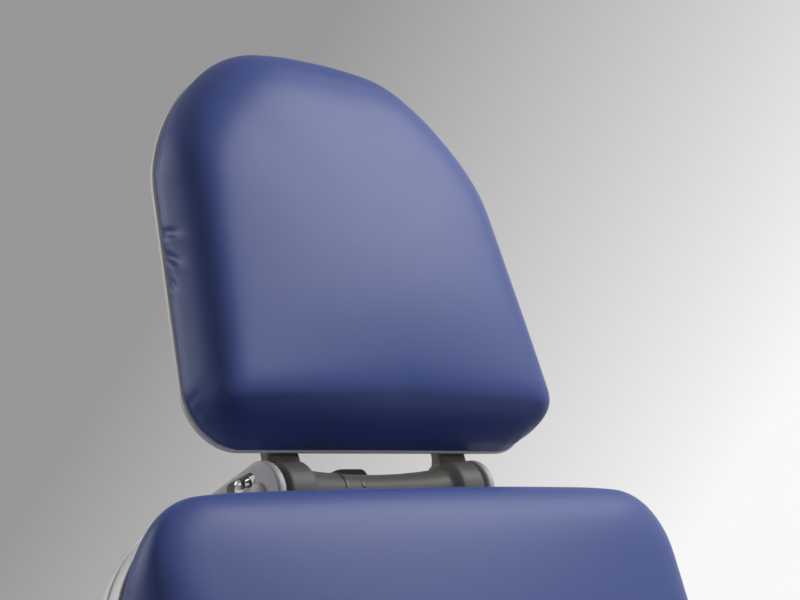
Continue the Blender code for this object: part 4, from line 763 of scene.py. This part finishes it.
PADS = [head_pad, back_pad,
        plain_cushion("seat_cushion", "seat", "seat_pad", CHAIR, SEAT_CORNER, SEAT_CORNER,
                      crown=0.008, firmness=(11.0,) * 8, count=60, cap=0.003),
        plain_cushion("legrest_cushion", "legrest", "leg_pad", LEG, LEG_CORNER, LEG_TOP_CORNER,
                      crown=0.006, firmness=(11.0,) * 8, count=52, cap=0.003)]
for side in ("left", "right"):
    PADS.append(plain_cushion(f"armrest_cushion_{side}", f"armrest_{side}", f"arm_pad_{side}", CHAIR,
                              ARM_CORNER, ARM_CORNER,
                              crown=0.005, firmness=(4.0, 5.5, 7.0, 5.5) * 2, count=36, cap=0.002))
for pad in PADS:
    pad.start_cloth()
for step in range(1, CLOTH_FRAMES + 1):
    bpy.context.scene.frame_set(step)
for pad in PADS:
    pad.end_cloth()
bpy.context.scene.frame_set(1)
for pad in PADS:
    pad.build()


EDGE_COUNT = 320
EDGE_SHARES = np.arange(EDGE_COUNT) / EDGE_COUNT
HEAD_BOARD_RIM = 0.0026


def upright_rings(edge_at, levels):
    """Rings of an upright panel for a loft: its edge drawn in by depth, at a place rearwards."""
    edges = [(edge_at(depth), at) for depth, at in levels]
    return np.array([stacked(edge[:, 0], np.full(EDGE_COUNT, at), edge[:, 1]) for edge, at in edges])


def headrest_back_board():
    """Moulded board behind the headrest: its outline with a rounded rear rim, flat under the cushion."""
    edge = panel_edge(HEAD_HEM, EDGE_SHARES)
    turn = np.linspace(0.0, math.pi / 2, 6)
    levels = [(HEAD_BOARD_RIM * (1 - math.sin(t)), HEAD_BOARD_REAR - HEAD_BOARD_RIM * (1 - math.cos(t)))
              for t in turn]
    levels += [(0.0, HEAD_BOARD_FRONT + 0.0006), (0.0005, HEAD_BOARD_FRONT + 0.0002)]
    shape = lofted(upright_rings(lambda depth: drawn_in(edge, depth), levels))
    new_piece("headrest_back_board", shape, HEAD, "headrest", "pale_board", ("headrest_board",), 40)


headrest_back_board()

SHELL_START = 0.001
SHELL_REAR = 0.058
SHELL_WALL = 0.003
SHELL_LOW = 0.036
SHELL_LIP = 0.0080
SHELL_DIP = 0.018
SHELL_DIP_HALF = 0.140
SHELL_DIP_EASE = 0.022
SHELL_ROLL_START = 0.0150
SHELL_ROLL_IN = 0.046
FOOT_NOTCH_HALF = 0.180
FOOT_NOTCH = 0.036
GUIDE_HOLE_DROP = 0.170
GUIDE_HOLE_HALF = 0.021
GUIDE_HOLE_RISE = 0.016


def shell_edge(depth):
    """Outline of the back shell drawn in by depth, with an eased dip in its top edge for the hinge."""
    edge = panel_edge((SHELL_LOW + SHELL_LIP, BACK_TOP, BACK_HALF_LOW, BACK_HALF_TOP, BACK_LOW_CORNER,
                       BACK_HEM_CORNER, BACK_CROWN), EDGE_SHARES)
    edge = drawn_in(edge, depth - SHELL_LIP)
    ease = smoothstep((SHELL_DIP_HALF - abs(edge[:, 0])) / SHELL_DIP_EASE)
    edge[:, 1] -= np.where(edge[:, 1] > BACK_TOP - BACK_CORNER, SHELL_DIP * ease, 0.0)
    return edge


def back_cover():
    """Moulded back shell: rolled rear edge, two grooves round the rim, thin lip and hollow inside."""
    turn = np.linspace(0.0, math.pi / 2, 15)
    rolled = SHELL_REAR - SHELL_ROLL_START
    roll = [(SHELL_ROLL_IN * (1 - math.sin(t)), SHELL_ROLL_START + rolled * math.cos(t)) for t in turn]
    rim = [(0.0002, 0.0143), (0.0013, 0.0139), (0.0015, 0.0132), (0.0010, 0.0126), (0.0007, 0.0116),
           (0.0007, SHELL_START + 0.0010), (0.0010, SHELL_START + 0.0002), (0.0018, SHELL_START)]
    inside = [(SHELL_WALL, SHELL_START + 0.0006)]
    inside += [(SHELL_WALL + (SHELL_ROLL_IN - SHELL_WALL) * (1 - math.cos(t)),
                SHELL_ROLL_START + (SHELL_REAR - SHELL_WALL - SHELL_ROLL_START) * math.sin(t)) for t in turn]
    shape = cut_out(lofted(upright_rings(shell_edge, roll + rim + inside)),
                    rearward_bar(-0.02, 0.08, 0.0, SHELL_LOW, FOOT_NOTCH_HALF, FOOT_NOTCH, power=10.0),
                    rearward_bar(0.040, 0.07, 0.0, BACK_TOP - GUIDE_HOLE_DROP, GUIDE_HOLE_HALF,
                                 GUIDE_HOLE_RISE, power=8.0))
    new_piece("back_cover", shape, BACK, "backrest", "white_moulding", ("back_shell",), 38)


back_cover()


BOARD_INSET = 0.016
BOARD_TOP_DROP = 0.008
BOARD_LOW_CORNER = 0.030
BOARD_EDGE = 0.0008


def back_support():
    """Plywood board between the back shell and the cushion, a little inside the cushion's hem."""
    low, high = span("back_board", BACK)
    edge = panel_edge((low[2], high[2] - BOARD_TOP_DROP, BACK_HALF_LOW - BOARD_INSET,
                       BACK_HALF_TOP - BOARD_INSET, BOARD_LOW_CORNER, BACK_HEM_CORNER - BOARD_INSET, 0.0),
                      EDGE_SHARES)
    levels = ((BOARD_EDGE, high[1]), (0.0, high[1] - BOARD_EDGE), (0.0, low[1] + BOARD_EDGE),
              (BOARD_EDGE, low[1]))
    shape = lofted(upright_rings(lambda depth: drawn_in(edge, depth), levels))
    new_piece("back_support", shape, BACK, "backrest", "plywood", ("back_board",), 40)


back_support()

HUB_RADIUS = 0.0225
HUB_INNER = 0.071
HUB_OUTER = 0.0945
UPRIGHT_X = 0.0825
BAR_WAIST = 0.0122
BAR_SWELL = 0.0046
CASTING_VOXEL = 0.0013

# Upright of the yoke: height, half width and depth of each section
UPRIGHT_SECTIONS = ((0.002, 0.0150, 0.020), (0.016, 0.0146, 0.014), (0.026, 0.0138, 0.0115),
                    (0.060, 0.0132, 0.011), (0.135, 0.0126, 0.010), (0.146, 0.0110, 0.0085),
                    (0.150, 0.0080, 0.006))


def bar_radius(at):
    """Radius of the waisted bar at a place along it: waist + swell * (at / end)^2."""
    return BAR_WAIST + BAR_SWELL * (at / HUB_INNER) ** 2


def both_ways(half):
    """Stations of a turned piece from those of its left half, which may start in the middle."""
    return [(-at, radius) for at, radius in reversed(half) if at > 0] + half


def hinge_yoke():
    """Cast yoke: bar waisted towards its middle, two hubs, and two uprights that run into them."""
    half = [(at, bar_radius(at)) for at in np.linspace(0.0, HUB_INNER - 0.005, 12)]
    half += [(HUB_INNER - 0.001, HUB_RADIUS - 0.002), (HUB_INNER + 0.0012, HUB_RADIUS),
             (HUB_OUTER - 0.0016, HUB_RADIUS), (HUB_OUTER - 0.0005, HUB_RADIUS - 0.0005),
             (HUB_OUTER, HUB_RADIUS - 0.0016)]
    solids = [turned(both_ways(half), 72)]
    front = HEAD_BOARD_REAR + GAP
    for sign in (-1, 1):
        solids.append(rounded_bar([(height, sign * UPRIGHT_X, front + deep / 2, wide, deep / 2)
                                   for height, wide, deep in UPRIGHT_SECTIONS], 7.0))
    shape = run_together(solids, CASTING_VOXEL, 5)
    # The yoke's dark grey_casting colour is painted shade, the headrest's shadow on it; the fork and axle keep the
    # casting's pale colour
    new_piece("hinge_yoke", shape, HEAD, "headrest", "grey_casting", ("headrest_yoke",))


hinge_yoke()

FORK_INNER = 0.0985
FORK_OUTER = 0.1055
FORK_REAR = 0.090
FORK_CROSS = 0.032
FORK_LOW = -0.016
FORK_TOP = 0.013
FORK_EDGE = 0.0016
FORK_CORNER = 0.006
FORK_TOP_CORNER = 0.005
NOSE = np.linspace(math.radians(84), math.radians(256), 40)
PIN_REAR = 0.0165
PIN_UP = 0.0120
PIN_TRAVEL = 0.011
SLOT_RADIUS = 0.0048
PAST = 0.01


def long_hole(reach, radius, low, high):
    """Slot tool across the fork's right arm: two half circles joined by straight sides."""
    outline = corner_path([(PIN_REAR + b * (reach + radius), PIN_UP + c * radius, radius * 0.999)
                           for b, c in ((-1, -1), (1, -1), (1, 1), (-1, 1))], 9)
    return lofted(np.array([stacked(np.full(len(outline), at), *outline.T) for at in (low, high)]))


def fork_profile(count=240):
    """Side outline of a fork arm: round nose about the hinge axis and straight edges to the rear end."""
    path = np.vstack((HUB_RADIUS * np.stack((np.cos(NOSE), np.sin(NOSE)), -1),
                      ((FORK_REAR - FORK_CORNER, FORK_LOW), (FORK_REAR, FORK_LOW + FORK_CORNER),
                       (FORK_REAR, FORK_TOP - FORK_TOP_CORNER), (FORK_REAR - FORK_TOP_CORNER, FORK_TOP))))
    return along_path(path, np.arange(count) / count * path_run(path)[-1])


def hinge_fork():
    """Cast fork: two arms that carry the hinge axle, joined across behind, with the release slot cut."""
    profile = fork_profile()
    solids = [extruded(profile, *sorted((sign * FORK_INNER, sign * FORK_OUTER)), FORK_EDGE)
              for sign in (-1, 1)]
    middle = FORK_REAR - FORK_CROSS / 2
    reach = FORK_OUTER - 0.002
    solids.append(cross_bar(-reach, reach, middle, (FORK_TOP + FORK_LOW) / 2, FORK_CROSS / 2 - 0.001, 0.0138,
                            power=9.0))
    shape = run_together(solids, CASTING_VOXEL, 4)
    shape = cut_out(shape, long_hole(PIN_TRAVEL, SLOT_RADIUS, -FORK_OUTER - PAST, -FORK_INNER + PAST))
    new_piece("hinge_fork", shape, HEAD, "mast", "grey_casting", ("mast_head",), 45, "pale_casting")


hinge_fork()


def domed(start, end, radius, dome):
    """Stations of a round head with a domed end."""
    turn = np.linspace(0.0, math.pi / 2, 7)
    sign = 1 if end > start else -1
    dome_part = [(end - sign * dome * (1 - math.sin(t)), radius * math.cos(t) + 1e-5) for t in turn]
    return [(start, radius)] + dome_part


AXLE_RADIUS = 0.006
WASHER_RADIUS = 0.0048
PIN_RADIUS = 0.0026
LOCK_REAR = 0.037
LOCK_DEEP = 0.0204

# Lock block behind the bar: height and half width of each section
LOCK_SECTIONS = ((-0.0155, 0.0200), (-0.013, 0.0210), (0.012, 0.0206), (0.0150, 0.0202), (0.0200, 0.0172),
                 (0.0222, 0.0156), (0.0229, 0.0135))


def hinge_small_parts():
    """Axle with domed heads, chrome release pin in its slot, and the lock block behind the bar."""
    head = domed(FORK_OUTER, FORK_OUTER + 0.0035, 0.0078, 0.0025)
    axle = turned(both_ways([(FORK_OUTER, AXLE_RADIUS)] + head), 40)
    new_piece("axle", axle, HEAD, "mast", "grey_casting", ("hinge_axle",), 40, "pale_casting")
    pin = [(-FORK_INNER - 0.0006, WASHER_RADIUS), (-FORK_INNER - 0.0026, WASHER_RADIUS),
           (-FORK_INNER - 0.0027, PIN_RADIUS), (-FORK_OUTER + 0.003, PIN_RADIUS)]
    pin += domed(-FORK_OUTER + 0.002, -FORK_OUTER - 0.0045, 0.0034, 0.0030)
    points, faces = turned(pin[::-1], 40)
    points = points + np.array((0.0, PIN_REAR, PIN_UP))
    new_piece("release_knob", (points, faces), HEAD, "release", "chrome", ("release_pin",), 40)
    lock = rounded_bar([(height, 0.0, LOCK_REAR, half, LOCK_DEEP) for height, half in LOCK_SECTIONS], 8.0)
    # The lock block's dark grey_casting colour is painted shade, the headrest's shadow on it
    new_piece("lock_lug", lock, HEAD, "mast", "grey_casting", ("lock_block",), 50)


hinge_small_parts()

# Black band and disc on the bar: painted shadow of the joint gap and painted shade in the screw socket
JOINT_SHADOW_X = -0.036
JOINT_SHADOW_HALF = 0.0009
SOCKET_X = -0.019
SOCKET_RADIUS = 0.0028
SOCKET_LEAN = math.radians(10)


def bar_painted_shadows():
    """Painted shadow on the waisted bar: a black band round it for the shade in the joint gap, and a black disc
    for the shade in the socket of the screw that clamps it.
    """
    core = 0.009
    skin = bar_radius(JOINT_SHADOW_X) + 0.0006
    line = turned([(JOINT_SHADOW_X - JOINT_SHADOW_HALF, core), (JOINT_SHADOW_X - JOINT_SHADOW_HALF, skin),
                   (JOINT_SHADOW_X + JOINT_SHADOW_HALF, skin), (JOINT_SHADOW_X + JOINT_SHADOW_HALF, core)], 48)
    # Black band round the bar: painted shadow of the joint gap
    new_piece("bar_joint_painted_shadow", line, HEAD, "headrest", "black_moulding", (), 40)
    skin = bar_radius(SOCKET_X) + 0.0004
    points, faces = turned([(0.0, SOCKET_RADIUS), (skin - 0.0002, SOCKET_RADIUS),
                            (skin, SOCKET_RADIUS - 0.0004)], 24)
    out = points[:, :1] * np.array((0.0, -math.cos(SOCKET_LEAN), math.sin(SOCKET_LEAN)))
    rise = points[:, 2:] * np.array((0.0, math.sin(SOCKET_LEAN), math.cos(SOCKET_LEAN)))
    points = out + rise + (points[:, 1:2] + SOCKET_X) * ACROSS
    # Black disc flush with the bar: painted shade in the screw socket
    new_piece("bar_socket_painted_shade", (points, faces), HEAD, "headrest", "black_moulding", (), 40)


bar_painted_shadows()

BASE_FRONT = -0.3185
BASE_REAR = 0.2815
BASE_HALF = 0.235
BASE_CORNER = 0.060
BASE_FOOT = 0.0323
BASE_TOP = 0.1183
COVER_WALL = 0.003
COLUMN_FRONT = -0.1841
COLUMN_REAR = -0.0328
COLUMN_HALF = 0.0757
COLUMN_CORNER = 0.012


def base_ring(depth, height):
    """Outline of the base drawn in by depth, at a height."""
    corner = BASE_CORNER - 0.6 * depth
    half = BASE_HALF - depth
    edge = panel_edge((BASE_FRONT + depth, BASE_REAR - depth, half, half, corner, corner, 0.0), EDGE_SHARES)
    return stacked(*edge.T, np.full(EDGE_COUNT, height))


def base_housing():
    """Moulded base cover: near upright sides that roll over to a roof rising to the column, hollow below."""
    outside = rounded_off(((0.002, BASE_FOOT), (0.004, 0.0853), (0.010, 0.0973), (0.028, 0.1073),
                           (0.056, 0.1143)))
    inside = [(depth + COVER_WALL, max(height - COVER_WALL, BASE_FOOT)) for depth, height in outside[::-1]]
    collar = panel_edge((COLUMN_FRONT, COLUMN_REAR, COLUMN_HALF, COLUMN_HALF, COLUMN_CORNER, COLUMN_CORNER,
                         0.0), EDGE_SHARES)
    opening = [stacked(*collar.T, np.full(EDGE_COUNT, height))
               for height in (BASE_TOP, BASE_TOP - COVER_WALL)]
    rings = [base_ring(*at) for at in outside] + opening + [base_ring(*at) for at in inside]
    low, high = span("power_inlet", CHAIR)
    middle = (low + high) / 2
    half = (high - low) / 2 - 0.002
    inlet = rearward_bar(0.22, 0.32, middle[0], middle[2], half[0], half[2], power=9.0)
    shape = cut_out(hooped(np.array(rings)), inlet)
    new_piece("base_housing", shape, CHAIR, "base", "white_moulding", ("base_cover",), 35)


base_housing()


RIBS = 7
RIB_HALF = 0.0017
RIB_RISE = 0.0009
RIB_SIDE = 0.016
RIB_FRONT = 0.012


def tread_ribs(pedal):
    """Rubber ribs across a pedal's tread, evenly spaced."""
    low, high = span(pedal, CHAIR)
    bars = [cross_bar(low[0] + RIB_SIDE, high[0] - RIB_SIDE, at, high[2] + 0.0003, RIB_HALF, RIB_RISE,
                      power=3.0, count=24)
            for at in np.linspace(low[1] + RIB_FRONT, high[1] - RIB_SIDE, RIBS)]
    new_piece(pedal + "_ribs", together(bars), CHAIR, pedal, "black_rubber", (), 50)


for pedal in ("lift_pedal", "back_pedal"):
    tread_ribs(pedal)


def screw_heads(name, spots, out, radius, body):
    """Button heads with a round socket, each a solid of revolution about the outward direction."""
    out = np.array(out, float)
    side = np.cross(out, (0.31, 0.52, 0.79))
    side /= np.linalg.norm(side)
    turn = np.linspace(0.0, 1.1, 6)
    height = 0.5 * radius
    dome = [(-0.0004, radius)] + [(height * math.sin(t), radius * math.cos(t)) for t in turn]
    socket = [(height * 0.86, radius * 0.42), (height * 0.25, radius * 0.40)]
    points, faces = turned(dome + socket, 32)
    solid = points @ np.array((out, side, np.cross(out, side)))
    heads = [(solid + np.array(spot), faces) for spot in spots]
    new_piece(name, together(heads), CHAIR, body, "zinc_steel", (), 45)


UPRIGHT_REAR = HEAD_BOARD_REAR + GAP + 0.0106
UPRIGHT_SCREW = 0.0050
GUIDE_SCREW = 0.0042
GUIDE_SCREW_X = 0.0385
GUIDE_SCREW_INSET = 0.016
SIDE_SCREW = 0.0046
SKIRT_SCREW_Z = 0.402
COVER_SCREW_X = 0.2315
COVER_SCREW_Z = 0.058

screw_heads("upright_screws", HEAD.world([(sign * UPRIGHT_X, UPRIGHT_REAR, height) for sign in (-1, 1)
                                          for height in (0.078, 0.122)]), REAR, UPRIGHT_SCREW, "headrest")
guide_low, guide_high = span("mast_guide", BACK)
guide_rows = (guide_low[2] + GUIDE_SCREW_INSET, guide_high[2] - GUIDE_SCREW_INSET)
screw_heads("guide_screws", BACK.world([(sign * GUIDE_SCREW_X, guide_high[1], height) for sign in (-1, 1)
                                        for height in guide_rows]), REAR, GUIDE_SCREW, "backrest")
for side, sign in (("left", 1), ("right", -1)):
    low, high = span(f"seat_skirt_{side}", CHAIR)
    face = high[0] if sign > 0 else low[0]
    screw_heads(f"skirt_screws_{side}", [(face, at, SKIRT_SCREW_Z) for at in (-0.236, 0.092)],
                (sign, 0, 0), SIDE_SCREW, "seat")
    screw_heads(f"cover_screws_{side}", [(sign * COVER_SCREW_X, at, COVER_SCREW_Z)
                                         for at in (-0.215, -0.018, 0.180)], (sign, 0, 0), SIDE_SCREW, "base")


def aim(thing, target):
    """Turn a lamp or camera towards a point."""
    thing.rotation_euler = (Vector(target) - thing.location).to_track_quat("-Z", "Y").to_euler()


def soft_box(name, place, target, width, height, power):
    """Rectangular studio lamp."""
    lamp = bpy.data.lights.new(name, "AREA")
    lamp.shape = "RECTANGLE"
    lamp.size, lamp.size_y = width, height
    lamp.energy = power
    made = linked(name, lamp)
    made.location = place
    aim(made, target)


BOARD_FOOT = HEAD.world((0.0, HEAD_BOARD_REAR, HEAD_FOOT))
soft_box("front_box", (1.42, -0.66, 2.80), BOARD_FOOT, width=1.6, height=1.3, power=67.0)
soft_box("left_fill", (-2.0, -1.2, 1.5), (0.0, 0.1, 0.8), width=1.8, height=1.8, power=7.0)
soft_box("rear_fill", (-1.3, 2.4, 1.9), (0.0, 0.2, 0.9), width=1.8, height=1.6, power=27.0)


def pale_rays(tree):
    """1 for rays that show the pale surroundings: seen by the camera, mirrored or seen through."""
    rays = node(tree, "LightPath").outputs
    mirrored = maths(tree, "MAXIMUM", rays["Is Camera Ray"], rays["Is Glossy Ray"])
    return maths(tree, "MAXIMUM", mirrored, rays["Is Transmission Ray"])


ROOM_LEVEL = 0.09
SWEEP = (0.701, -0.678, -0.605)
SWEEP_FROM, SWEEP_TO = -0.1926, 0.1944
DARK_TONE, PALE_TONE = 0.588, 0.975
SCREEN_GAMMA = 2.2


def world_light():
    """Even studio room: a plain level on the object, and a pale gradient where the camera looks past it."""
    world = bpy.data.worlds.new("studio")
    bpy.context.scene.world = world
    world.use_nodes = True
    tree = world.node_tree
    level = tree.nodes["Background"]
    level.inputs["Color"].default_value = (1.0, 1.0, 1.0, 1.0)
    level.inputs["Strength"].default_value = ROOM_LEVEL
    direction = node(tree, "TexCoord")
    sweep = node(tree, "VectorMath", {"operation": "DOT_PRODUCT"},
                 {0: direction.outputs["Generated"], 1: SWEEP})
    tone = node(tree, "MapRange", None, {"Value": sweep.outputs["Value"], "From Min": SWEEP_FROM,
                                         "From Max": SWEEP_TO, "To Min": DARK_TONE, "To Max": PALE_TONE})
    shade = maths(tree, "POWER", tone.outputs[0], SCREEN_GAMMA)
    backdrop = node(tree, "Background", None, {"Color": shade, "Strength": 1.0})
    seen = node(tree, "MixShader", None, {0: pale_rays(tree), 1: level.outputs[0], 2: backdrop.outputs[0]})
    tree.links.new(seen.outputs[0], tree.nodes["World Output"].inputs["Surface"])


world_light()


FLOOR_RADIUS = 3.4
FLOOR_SIDES = 128
FADE_FROM, FADE_TO = 0.9, 3.3
FLOOR_AS_LIGHT = (0.06, 0.06, 0.06, 1.0)
FLOOR_AS_SEEN = (0.72, 0.72, 0.73, 1.0)


def pale_floor():
    """Plain floor, pale to the camera and quieter in the light that it throws back, fading out at its rim."""
    edge = FLOOR_RADIUS * stacked(*circle(FLOOR_SIDES), np.zeros(FLOOR_SIDES))
    mesh = new_mesh("floor", edge, [list(range(FLOOR_SIDES))])
    floor = linked("floor", mesh)
    made = bpy.data.materials.new("floor")
    made.use_nodes = True
    tree = made.node_tree
    shader = tree.nodes["Principled BSDF"]
    shader.inputs["Roughness"].default_value = 0.6
    colour = node(tree, "Mix", {"data_type": "RGBA"},
                  {0: pale_rays(tree), 6: FLOOR_AS_LIGHT, 7: FLOOR_AS_SEEN})
    tree.links.new(colour.outputs[2], shader.inputs["Base Color"])
    reach = node(tree, "VectorMath", {"operation": "LENGTH"}, {0: own_place(tree)})
    fade = node(tree, "MapRange", {"interpolation_type": "SMOOTHSTEP"},
                {"Value": reach.outputs["Value"], "From Min": FADE_FROM, "From Max": FADE_TO})
    clear = node(tree, "BsdfTransparent")
    faded = node(tree, "MixShader", None, {0: fade.outputs[0], 1: shader.outputs[0], 2: clear.outputs[0]})
    tree.links.new(faded.outputs[0], tree.nodes["Material Output"].inputs["Surface"])
    mesh.materials.append(made)


pale_floor()

camera = linked("camera", bpy.data.cameras.new("camera"))
camera.location = Vector(BOARD_FOOT) + Vector(CAMERA_FROM_BOARD)
camera.rotation_euler = (math.pi / 2 + CAMERA_PITCH, 0.0, -CAMERA_YAW)
camera.data.sensor_width = SENSOR
camera.data.lens = FOCAL_PIXELS / IMAGE_WIDTH * SENSOR
bpy.context.scene.camera = camera
bpy.context.scene.view_settings.view_transform = "Standard"

bpy.context.view_layer.update()
